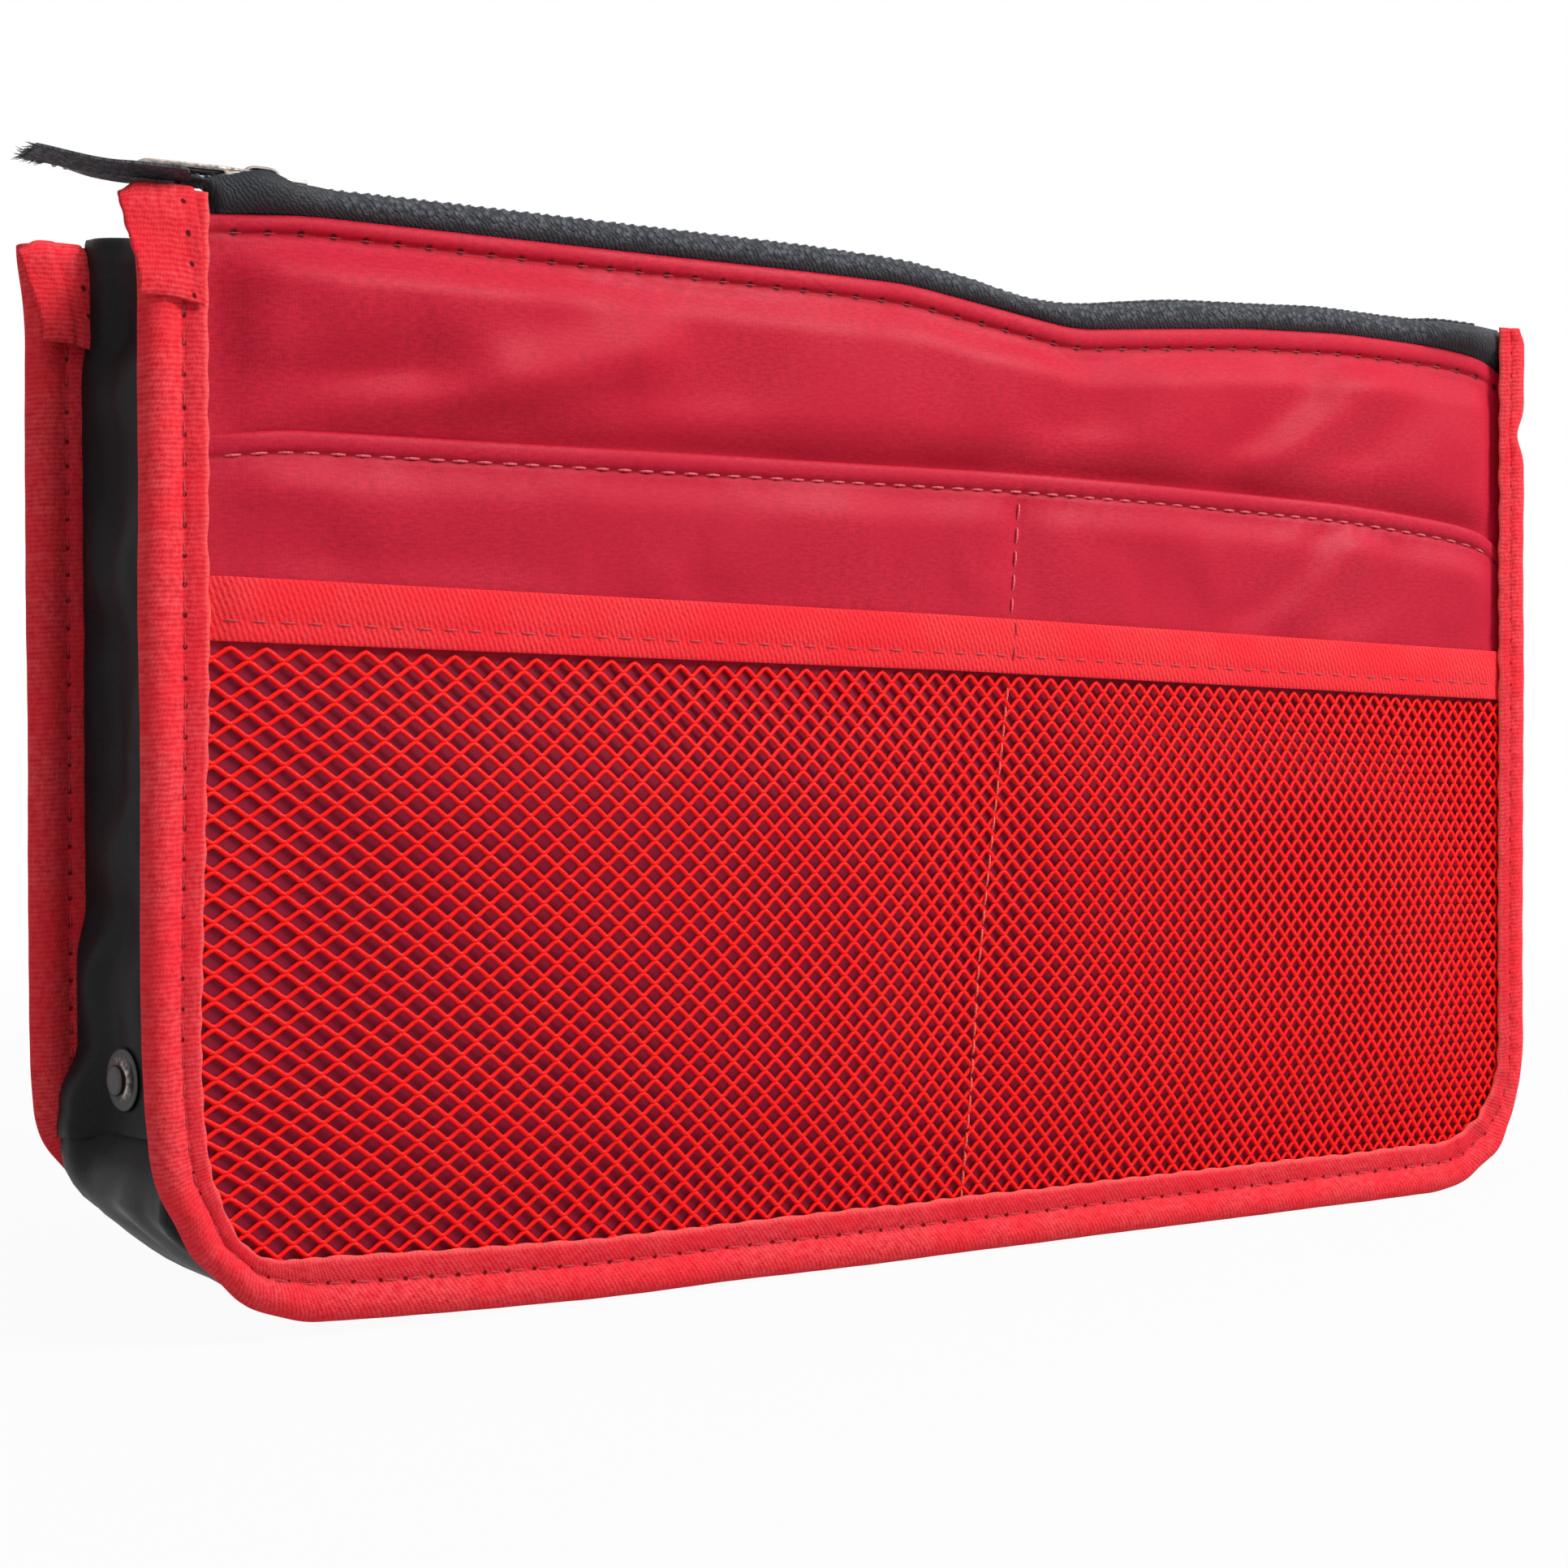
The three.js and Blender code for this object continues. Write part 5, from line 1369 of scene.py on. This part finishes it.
class Network:
    """Adds nodes to a tree and links them, with plain numbers where there is nothing to link."""

    def __init__(self, tree):
        self.tree = tree

    def node(self, kind, inputs=None, **settings):
        """A new shader node. Its inputs are given by name or number, as sockets or as values."""
        made = self.tree.nodes.new("ShaderNode" + kind)
        for key, value in settings.items():
            setattr(made, key, value)
        for key, value in (inputs or {}).items():
            if isinstance(value, bpy.types.NodeSocket):
                self.tree.links.new(value, made.inputs[key])
            else:
                made.inputs[key].default_value = value
        return made

    def maths(self, operation, *values):
        return self.node("Math", dict(enumerate(values)), operation=operation).outputs[0]

    def add(self, first, second):
        return self.maths("ADD", first, second)

    def subtract(self, first, second):
        return self.maths("SUBTRACT", first, second)

    def multiply(self, first, second):
        return self.maths("MULTIPLY", first, second)

    def divide(self, first, second):
        return self.maths("DIVIDE", first, second)

    def ramp(self, value, low, high, start=0.0, end=1.0):
        """A soft step from start to end, as the value goes from low to high."""
        limits = {"Value": value, "From Min": low, "From Max": high, "To Min": start, "To Max": end}
        return self.node("MapRange", limits, interpolation_type="SMOOTHSTEP").outputs["Result"]

    def mix(self, factor, first, second):
        """A blend of two colours."""
        return self.node("Mix", {0: factor, 6: first, 7: second}, data_type="RGBA").outputs[2]

    def noise(self, vector, scale, detail, roughness=0.5):
        look = {"Vector": vector, "Scale": scale, "Detail": detail, "Roughness": roughness}
        return self.node("TexNoise", look).outputs[0]

    def stretched(self, vector, factors):
        return self.node("VectorMath", {0: vector, 1: factors}, operation="MULTIPLY").outputs[0]

    def direct_view(self):
        """1 for what the camera sees, straight or through a reflection, and 0 for light on its way."""
        path = self.node("LightPath").outputs
        return self.maths("MAXIMUM", path["Is Camera Ray"],
                          self.maths("MAXIMUM", path["Is Glossy Ray"], path["Is Transmission Ray"]))

    def surface(self, colour, roughness, height, strength, distance, more):
        """Ends a material: a shader with a bump, whose distance is in mm, and more inputs."""
        relief = {"Height": height, "Strength": strength, "Distance": distance * MM}
        bump = self.node("Bump", relief).outputs[0]
        look = {"Base Color": colour, "Roughness": roughness, "Normal": bump, **more}
        shader = self.node("BsdfPrincipled", look)
        self.node("OutputMaterial", {"Surface": shader.outputs[0]})


def blank(holder):
    """The emptied node tree of a material or a world, as a network."""
    holder.use_nodes = True
    holder.node_tree.nodes.clear()
    return Network(holder.node_tree)


def new_group(name, outputs, with_vector=True, **inputs):
    """A node group with a vector input, a number input for each keyword, and number outputs."""
    tree = bpy.data.node_groups.new(name, "ShaderNodeTree")
    if with_vector:
        tree.interface.new_socket(name="Vector", in_out="INPUT", socket_type="NodeSocketVector")
    for label, value in inputs.items():
        socket = tree.interface.new_socket(name=label, in_out="INPUT", socket_type="NodeSocketFloat")
        socket.default_value = value
    for label in outputs:
        tree.interface.new_socket(name=label, in_out="OUTPUT", socket_type="NodeSocketFloat")
    given = tree.nodes.new("NodeGroupInput").outputs
    target = tree.nodes.new("NodeGroupOutput").inputs

    def give_out(**values):
        for label, value in values.items():
            tree.links.new(value, target[label])

    return tree, Network(tree), given, give_out


# %% [markdown]
# ### Weave
# Woven tape shows slanted ribs crossed by finer yarns. Two waves over the flat place of the cloth
# make both, and a little noise keeps the ribs from looking printed.

# %% Weave group
weave, n, given, give_out = new_group("woven ribs", ["Height", "Shade"],
                                      Rib=1.0, Slant=0.5, Yarn=0.5, Unevenness=0.6)
wobble = n.noise(given["Vector"], 0.55, 2.0)
shift = n.multiply(n.subtract(wobble, 0.5), given["Unevenness"])
flat = n.node("SeparateXYZ", {0: given["Vector"]}).outputs
slanted = n.add(flat["X"], n.multiply(flat["Y"], given["Slant"]))
rib_turn = n.multiply(n.divide(n.add(slanted, shift), given["Rib"]), 2 * math.pi)
rib = n.ramp(n.maths("SINE", rib_turn), -0.9, 0.9)
yarn_turn = n.multiply(n.divide(n.add(flat["Y"], shift), given["Yarn"]), 2 * math.pi)
yarn = n.ramp(n.maths("SINE", n.add(yarn_turn, n.multiply(rib_turn, 0.5))), -1.0, 1.0)
fuzz = n.noise(given["Vector"], 3.2, 3.0)
height = n.add(n.multiply(rib, 0.62), n.multiply(yarn, 0.24))
height = n.add(height, n.multiply(fuzz, 0.3))
give_out(Height=height, Shade=n.ramp(height, 0.2, 1.0))
print("weave group:", len(weave.nodes), "nodes")

# %% [markdown]
# ### Cloud and lint
# No cloth is one even colour. A broad cloud stands for handling and uneven dye, and a fine grain
# for single bright threads.

# %% Cloud group
cloud, n, given, give_out = new_group("cloth cloud", ["Broad", "Fine"],
                                      Size=30.0, Stretch=1.0, Grain=1.6)
inverse = n.divide(1.0, given["Size"])
broad = n.noise(given["Vector"], inverse, 3.0, 0.55)
stretch = n.node("CombineXYZ", {"X": given["Stretch"], "Y": 1.0, "Z": 1.0}).outputs[0]
fine = n.noise(n.stretched(given["Vector"], stretch), given["Grain"], 4.0, 0.6)
give_out(Broad=n.ramp(broad, 0.3, 0.7), Fine=n.ramp(fine, 0.25, 0.75))
print("cloud group:", len(cloud.nodes), "nodes")

# %% [markdown]
# ### Needle holes
# Along a row of stitches the needle leaves a small pit where the thread goes down, and the thread pulls a
# furrow along the row. The group marks these pits and the furrow on any cloth that has a stitch row at a
# known place across it. The materials paint both darker, as painted shade.

# %% Needle hole group
holes, n, given, give_out = new_group("needle holes", ["Mask", "Furrow"],
                                      Row=7.4, Pitch=4.6, Radius=0.5, Unevenness=1.2)
flat = n.node("SeparateXYZ", {0: given["Vector"]}).outputs
uneven = n.noise(given["Vector"], 0.21, 0.0)
run = n.add(flat["X"], n.multiply(uneven, given["Unevenness"]))
along = n.subtract(n.maths("WRAP", run, given["Pitch"], 0.0), n.multiply(given["Pitch"], 0.5))
aside = n.subtract(flat["Y"], given["Row"])
distance = n.maths("SQRT", n.add(n.maths("POWER", along, 2.0), n.maths("POWER", aside, 2.0)))
near = n.divide(distance, given["Radius"])
mask = n.ramp(near, 1.15, 0.55)
furrow = n.divide(n.maths("ABSOLUTE", aside), n.multiply(given["Radius"], 1.8))
give_out(Mask=mask, Furrow=n.ramp(furrow, 1.0, 0.1))
print("needle hole group:", len(holes.nodes), "nodes")

# %% [markdown]
# ### Worn edges of metal
# Paint and plating go first where a part is touched most: on its edges. Blender knows how sharply a
# surface bends, and a noise breaks up the line where the bare metal begins.

# %% Edge wear group
wear, n, given, give_out = new_group("worn edges", ["Wear", "Scratch"], with_vector=False,
                                     Reach=0.54, Breakup=0.1, Grain=1200.0)
bend = n.node("NewGeometry").outputs["Pointiness"]
spot = n.node("TexCoord").outputs["Object"]
patch = n.noise(spot, given["Grain"], 3.0)
edge = n.add(bend, n.multiply(n.subtract(patch, 0.5), given["Breakup"]))
worn = n.ramp(n.subtract(edge, given["Reach"]), -0.02, 0.03)
scratch = n.noise(n.stretched(spot, (1.0, 9.0, 3.0)), 700.0, 4.0, 0.7)
give_out(Wear=worn, Scratch=n.ramp(scratch, 0.35, 0.75))
print("wear group:", len(wear.nodes), "nodes")

# %% Materials of cloth


def cloth_material(name, deep, plain, bright, rough, weave_values, cloud_values, relief, hole_values=None,
                   hole_shade_colour=(60, 6, 14), row_on_third=False, extra=None, slant=None, weave_share=0.6,
                   furrow=0.3, specular=0.5, sheen=0.1, sheen_tint=(255, 110, 115)):
    """A fabric: deep in its furrows, bright on its ribs, cloudy over its width.

    relief is the bump's strength and its depth in mm. The satin keeps the distance from its stitch row
    in the third part of its place, which row_on_third says. Along a stitch row the cloth is painted
    deeper by furrow, and its needle pits are painted dark, both as painted shade.
    """
    material = bpy.data.materials.new(name)
    n = blank(material)
    place = n.node("Attribute", attribute_name="cloth").outputs["Vector"]
    parts = n.node("SeparateXYZ", {0: place}).outputs
    flat = n.node("CombineXYZ", {"X": parts["X"], "Y": parts["Y"]}).outputs[0]
    if slant is not None:
        weave_values = {**weave_values, "Slant": slant(n, parts)}
    woven = n.node("Group", {"Vector": flat, **weave_values}, node_tree=weave).outputs
    clouds = n.node("Group", {"Vector": flat, **cloud_values}, node_tree=cloud).outputs
    shade = n.add(n.multiply(woven["Shade"], weave_share), n.multiply(clouds["Fine"], 1.0 - weave_share))
    colour = n.mix(shade, linear(*deep), linear(*bright))
    colour = n.mix(n.ramp(clouds["Broad"], 0.0, 1.0, 0.2, 0.6), colour, linear(*plain))
    height = n.add(woven["Height"], n.multiply(clouds["Fine"], 0.5))
    if extra is not None:
        colour, height = extra(n, parts, colour, height)
    if hole_values is not None:
        if row_on_third:
            place = n.node("CombineXYZ", {"X": parts["X"], "Y": parts["Z"]}).outputs[0]
        pits = n.node("Group", {"Vector": place, **hole_values}, node_tree=holes).outputs
        # painted shade: the cloth is painted deeper along the furrow of its stitches, and near black in the
        # needle pits
        colour = n.mix(n.multiply(pits["Furrow"], furrow), colour, linear(*deep))
        colour = n.mix(n.multiply(pits["Mask"], 0.9), colour, linear(*hole_shade_colour))
        height = n.subtract(height, n.multiply(pits["Mask"], 1.6))
    roughness = n.ramp(clouds["Broad"], 0.0, 1.0, rough - 0.05, rough + 0.06)
    n.surface(colour, roughness, height, *relief,
              {"Sheen Weight": sheen, "Sheen Roughness": 0.45, "Sheen Tint": linear(*sheen_tint),
               "Specular IOR Level": specular})
    return material


def painted_shade_below(height_mm, soft, shade_colour_below, share):
    """Painted shade: the satin of the slip pocket is painted darker behind the net than above it, for the
    shade the net casts there.
    """

    def add(n, parts, colour, height):
        mask = n.ramp(parts["Y"], height_mm + soft, height_mm - soft, 0.0, share)
        return n.mix(mask, colour, linear(*shade_colour_below)), height

    return add


def frayed_edge_and_painted_shade(n, parts, colour, height):
    """Painted shade: the twill is painted darker inside its stitches, where the band meets the panel in
    shade. Its raw edge is pale with loose fibres.
    """
    # painted shade: the strip between the stitches and the panel is painted darker
    inner = n.ramp(parts["Y"], STITCH_ROW - 0.6, STITCH_ROW + 0.8, 0.0, 0.3)
    colour = n.mix(inner, colour, linear(176, 10, 36))
    fibres = n.noise(n.node("CombineXYZ", {"X": parts["X"]}).outputs[0], 2.6, 2.0)
    reach = n.add(parts["Y"], n.multiply(n.subtract(fibres, 0.5), 2.2))
    mask = n.ramp(reach, 9.3, 10.7, 0.0, 0.65)
    return n.mix(mask, colour, linear(255, 112, 108)), height


def by_edge(n, parts):
    """Ribs lie across the tape on the wall's sides and slanted along its bottom."""
    side = EDGE_PARTS[0]
    left = n.ramp(parts["X"], side - 10, side + 50, 0.06, 0.75)
    right = n.ramp(parts["X"], EDGE_LENGTH - side - 50, EDGE_LENGTH - side + 10, 1.0, 0.1)
    return n.multiply(left, right)


def pebbles_and_painted_sheen(n, parts, colour, height):
    """Near its two ends the zip tape is pressed flat and dark. Between them it is pebbled, and the pebbles
    are painted pale as a painted highlight on the upper part of its roll.
    """
    flat = n.node("CombineXYZ", {"X": parts["X"], "Y": parts["Y"]}).outputs[0]
    pebbles = n.node("TexVoronoi", {"Vector": flat, "Scale": 0.85}).outputs["Distance"]
    middle = n.multiply(n.ramp(parts["X"], -127.0, -108.0), n.ramp(parts["X"], 132.0, 112.0))
    middle = n.multiply(middle, n.ramp(parts["Y"], 8.5, 11.5))
    loose = n.maths("MAXIMUM", middle, n.ramp(parts["X"], -136.0, -140.0, 0.0, 0.5))
    knit_and_painted_sheen = n.multiply(n.ramp(pebbles, 0.75, 0.15), loose)
    # painted highlight: the pebbles are painted pale only in the middle run and on the upper part of the
    # roll, where the light falls
    colour = n.mix(n.multiply(knit_and_painted_sheen, 0.55), n.mix(0.6, colour, linear(24, 25, 29)), linear(104, 108, 116))
    return colour, n.add(n.multiply(height, 0.4), n.multiply(knit_and_painted_sheen, 1.1))


LAMP_SHEEN = (225, 230, 240)
twill = cloth_material(
    "twill_tape_red", (204, 16, 34), (246, 36, 52), (255, 92, 98), 0.85,
    {"Rib": 0.86, "Yarn": 0.55, "Unevenness": 0.8}, {"Size": 14.0, "Stretch": 0.6, "Grain": 1.1}, (0.6, 0.15),
    {"Row": STITCH_ROW, "Pitch": BAND_PITCH, "Radius": 0.5}, extra=frayed_edge_and_painted_shade, slant=by_edge, weave_share=0.36,
    furrow=0.15, specular=0.12, sheen=0.12)
satin_values = ({"Rib": 0.62, "Slant": 0.0, "Yarn": 0.5, "Unevenness": 2.2},
                {"Size": 38.0, "Stretch": 0.3, "Grain": 2.2}, (0.16, 0.05))
satin = cloth_material(
    "satin_red", (162, 8, 33), (191, 14, 46), (218, 31, 63), 0.6, *satin_values,
    {"Row": 0.0, "Pitch": PANEL_PITCH, "Radius": 0.8, "Unevenness": 0.0}, (24, 2, 9), True,
    weave_share=0.2, furrow=0.5, specular=0.2)
# the slip pocket's satin is painted darker below the net's top, as painted shade
satin_pocket = cloth_material(
    "satin_red_pocket", (162, 9, 34), (188, 15, 48), (214, 31, 63), 0.6, *satin_values,
    {"Row": 0.0, "Pitch": SLIP_PITCH, "Radius": 0.5, "Unevenness": 0.0}, (70, 4, 22), True,
    extra=painted_shade_below(108, 5, (126, 6, 42), 0.85), weave_share=0.2, furrow=0.5, specular=0.2)
grosgrain = cloth_material(
    "grosgrain_red", (210, 14, 32), (246, 30, 46), (255, 76, 80), 0.7,
    {"Rib": 0.95, "Slant": 0.35, "Yarn": 1.9, "Unevenness": 0.35},
    {"Size": 20.0, "Stretch": 1.0, "Grain": 1.8}, (0.7, 0.15), specular=0.14)
net_nylon = cloth_material(
    "net_cord_red", (236, 2, 4), (255, 6, 8), (255, 40, 30), 0.45,
    {"Rib": 0.5, "Slant": 0.8, "Yarn": 0.5, "Unevenness": 0.3},
    {"Size": 9.0, "Stretch": 1.0, "Grain": 1.2}, (0.4, 0.06), specular=0.16, sheen=0.0)
nylon = cloth_material(
    "nylon_black", (12, 12, 14), (20, 20, 22), (32, 32, 35), 0.5,
    {"Rib": 0.62, "Slant": 0.0, "Yarn": 0.55, "Unevenness": 1.5},
    {"Size": 24.0, "Stretch": 0.4, "Grain": 1.7}, (0.22, 0.06),
    weave_share=0.35, specular=0.11, sheen=0.01, sheen_tint=LAMP_SHEEN)
zip_cloth = cloth_material(
    "zip_tape_black", (18, 18, 22), (38, 40, 46), (86, 89, 96), 0.55,
    {"Rib": 0.9, "Slant": 0.9, "Yarn": 0.7, "Unevenness": 2.0},
    {"Size": 9.0, "Stretch": 0.8, "Grain": 1.1}, (1.0, 0.34),
    extra=pebbles_and_painted_sheen, specular=0.25, sheen=0.05, sheen_tint=LAMP_SHEEN)
print("cloth materials:", len(bpy.data.materials))

# %% Materials of thread, nylon coil and metal


def thread_material(name, deep, bright, rough):
    """Twisted thread: fine slanting bands along each stitch."""
    material = bpy.data.materials.new(name)
    n = blank(material)
    spot = n.node("TexCoord").outputs["Object"]
    twist = n.node("TexWave", {"Vector": spot, "Scale": 900.0, "Distortion": 2.0, "Detail": 1.0},
                   bands_direction="DIAGONAL").outputs["Fac"]
    soft = n.noise(spot, 160.0, 2.0)
    factor = n.add(n.multiply(twist, 0.6), n.multiply(soft, 0.4))
    colour = n.mix(factor, linear(*deep), linear(*bright))
    n.surface(colour, n.ramp(soft, 0.2, 0.8, rough, rough + 0.1), twist, 0.6, 0.05, {"Sheen Weight": 0.2})
    return material


def metal_material(name, bare, coat, bare_rough, coat_rough, metallic, reach, breakup):
    """Metal under a thin coat that is worn off at the edges."""
    material = bpy.data.materials.new(name)
    n = blank(material)
    mask, scratch = n.node("Group", {"Reach": reach, "Breakup": breakup}, node_tree=wear).outputs
    colour = n.mix(mask, linear(*coat), linear(*bare))
    colour = n.mix(n.multiply(scratch, 0.3), colour, linear(*[min(255, c + 40) for c in coat]))
    roughness = n.add(n.ramp(mask, 0.0, 1.0, coat_rough, bare_rough), n.multiply(scratch, 0.12))
    n.surface(colour, roughness, scratch, 0.15, 0.03, {"Metallic": n.ramp(mask, 0.0, 1.0, metallic, 1.0)})
    return material


thread_red = thread_material("thread_red", (160, 12, 32), (206, 32, 56), 0.55)
thread_pink = thread_material("thread_pink", (214, 50, 74), (244, 112, 128), 0.5)
thread_bright = thread_material("thread_bright_red", (216, 36, 40), (255, 112, 84), 0.5)
thread_black = thread_material("thread_black", (14, 14, 16), (60, 60, 64), 0.55)
coil_nylon = thread_material("coil_nylon_black", (26, 27, 31), (86, 89, 96), 0.34)
gunmetal = metal_material("gunmetal", (172, 160, 152), (64, 61, 62), 0.3, 0.36, 0.9, 0.53, 0.08)
slider_bare = metal_material("slider_metal", (196, 188, 176), (150, 143, 134), 0.26, 0.38, 0.95, 0.5, 0.12)
slider_paint = metal_material("slider_paint", (170, 160, 148), (26, 26, 28), 0.3, 0.4, 0.0, 0.56, 0.1)
print("materials:", len(bpy.data.materials))

# %% Each piece gets its finish
# Pieces that aren't listed, the press studs and the pull, are gunmetal. The slider has a painted top, so it
# has two finishes.
FINISHES = (
    (twill, "front_binding_cloth rear_binding_cloth front_binding_end rear_binding_end "
            "rear_binding_end_under"),
    (satin, "front_panel_cloth rear_panel_cloth rear_slip_pocket_cloth"),
    (satin_pocket, "front_slip_pocket_cloth"),
    (grosgrain, "front_mesh_tape_cloth"),
    (net_nylon, "front_net_cords"),
    (nylon, "front_lining_cloth rear_lining_cloth front_inner_pocket_cloth rear_inner_pocket_cloth "
            "left_gusset_cloth right_gusset_cloth gusset_base_cloth"),
    (zip_cloth, "zip_tape_front_cloth zip_tape_rear_cloth"),
    (coil_nylon, "zip_coil_front zip_coil_rear"),
    (thread_red, "front_binding_stitches rear_binding_stitches front_panel_stitches mesh_tape_stitches "
                 "rear_satin_stitches"),
    (thread_pink, "front_slip_stitches"),
    (thread_bright, "net_seam_stitches"),
    (thread_black, "zip_tape_fray front_pocket_stitches rear_pocket_stitches"),
    (slider_bare, "zip_end_stop_metal zip_slider_metal"),
)
finish_of = {name: material for material, names in FINISHES for name in names.split()}
for name, piece in scene_pieces.items():
    piece.data.materials.append(finish_of.get(name, gunmetal))
scene_pieces["zip_slider_metal"].data.materials.append(slider_paint)
print(len(scene_pieces), "pieces finished")

# %% [markdown]
# ## Studio
# The floor is pale and plain. One soft lamp stands at the front right, a second one overhead grazes
# the satin and brings out its folds, and a low sky keeps the black gusset readable. The camera sees
# sky and floor close to white.

# %% Floor, sky and lamps
floor_mesh = bpy.data.meshes.new("floor")
floor_mesh.from_pydata([(-9, -6, 0), (9, -6, 0), (9, 14, 0), (-9, 14, 0)], [], [(0, 1, 2, 3)])
floor = bpy.data.objects.new("floor", floor_mesh)
floor.location.z = -0.0004
bpy.context.scene.collection.objects.link(floor)
WHITE = (1.0, 1.0, 1.0, 1.0)
floor_finish = bpy.data.materials.new("floor_pale")
n = blank(floor_finish)
seen = n.direct_view()
spot = n.node("NewGeometry").outputs["Position"]
away = n.node("VectorMath", {0: spot}, operation="LENGTH").outputs["Value"]
shown_share = n.multiply(seen, n.ramp(away, 0.2, 0.9, 0.95, 1.0))
paper = n.node("BsdfDiffuse", {"Color": (0.55, 0.55, 0.55, 1.0)}).outputs[0]
white = n.node("Emission", {"Color": WHITE, "Strength": 1.0}).outputs[0]
shown = n.node("MixShader", {0: shown_share, 1: paper, 2: white}).outputs[0]
n.node("OutputMaterial", {"Surface": shown})
floor_mesh.materials.append(floor_finish)

world = bpy.data.worlds.new("studio_sky")
bpy.context.scene.world = world
n = blank(world)
direct = n.direct_view()
sky = n.node("Background", {"Color": WHITE, "Strength": 0.36}).outputs[0]
backdrop = n.node("Background", {"Color": WHITE, "Strength": 1.0}).outputs[0]
n.node("OutputWorld", {"Surface": n.node("MixShader", {0: direct, 1: sky, 2: backdrop}).outputs[0]})


def lamp(name, place, target, size, power):
    """A square soft box at a place, turned to a target. All in metres and watts."""
    data = bpy.data.lights.new(name, "AREA")
    data.shape = "SQUARE"
    data.size = size
    data.energy = power
    holder = bpy.data.objects.new(name, data)
    holder.location = place
    holder.rotation_euler = (Vector(target) - Vector(place)).to_track_quat("-Z", "Y").to_euler()
    bpy.context.scene.collection.objects.link(holder)


lamp("key_light", (0.7, -0.9, 0.98), (0.0, 0.0, 0.09), 0.5, 18.5)
lamp("top_light", (0.1, -0.4, 1.25), (0.0, 0.0, 0.1), 0.5, 3.0)
lamp("side_light", (-1.1, -0.6, 0.5), (-0.1, 0.0, 0.1), 0.6, 0.6)
bpy.context.scene.view_settings.view_transform = "Standard"
print("studio ready")
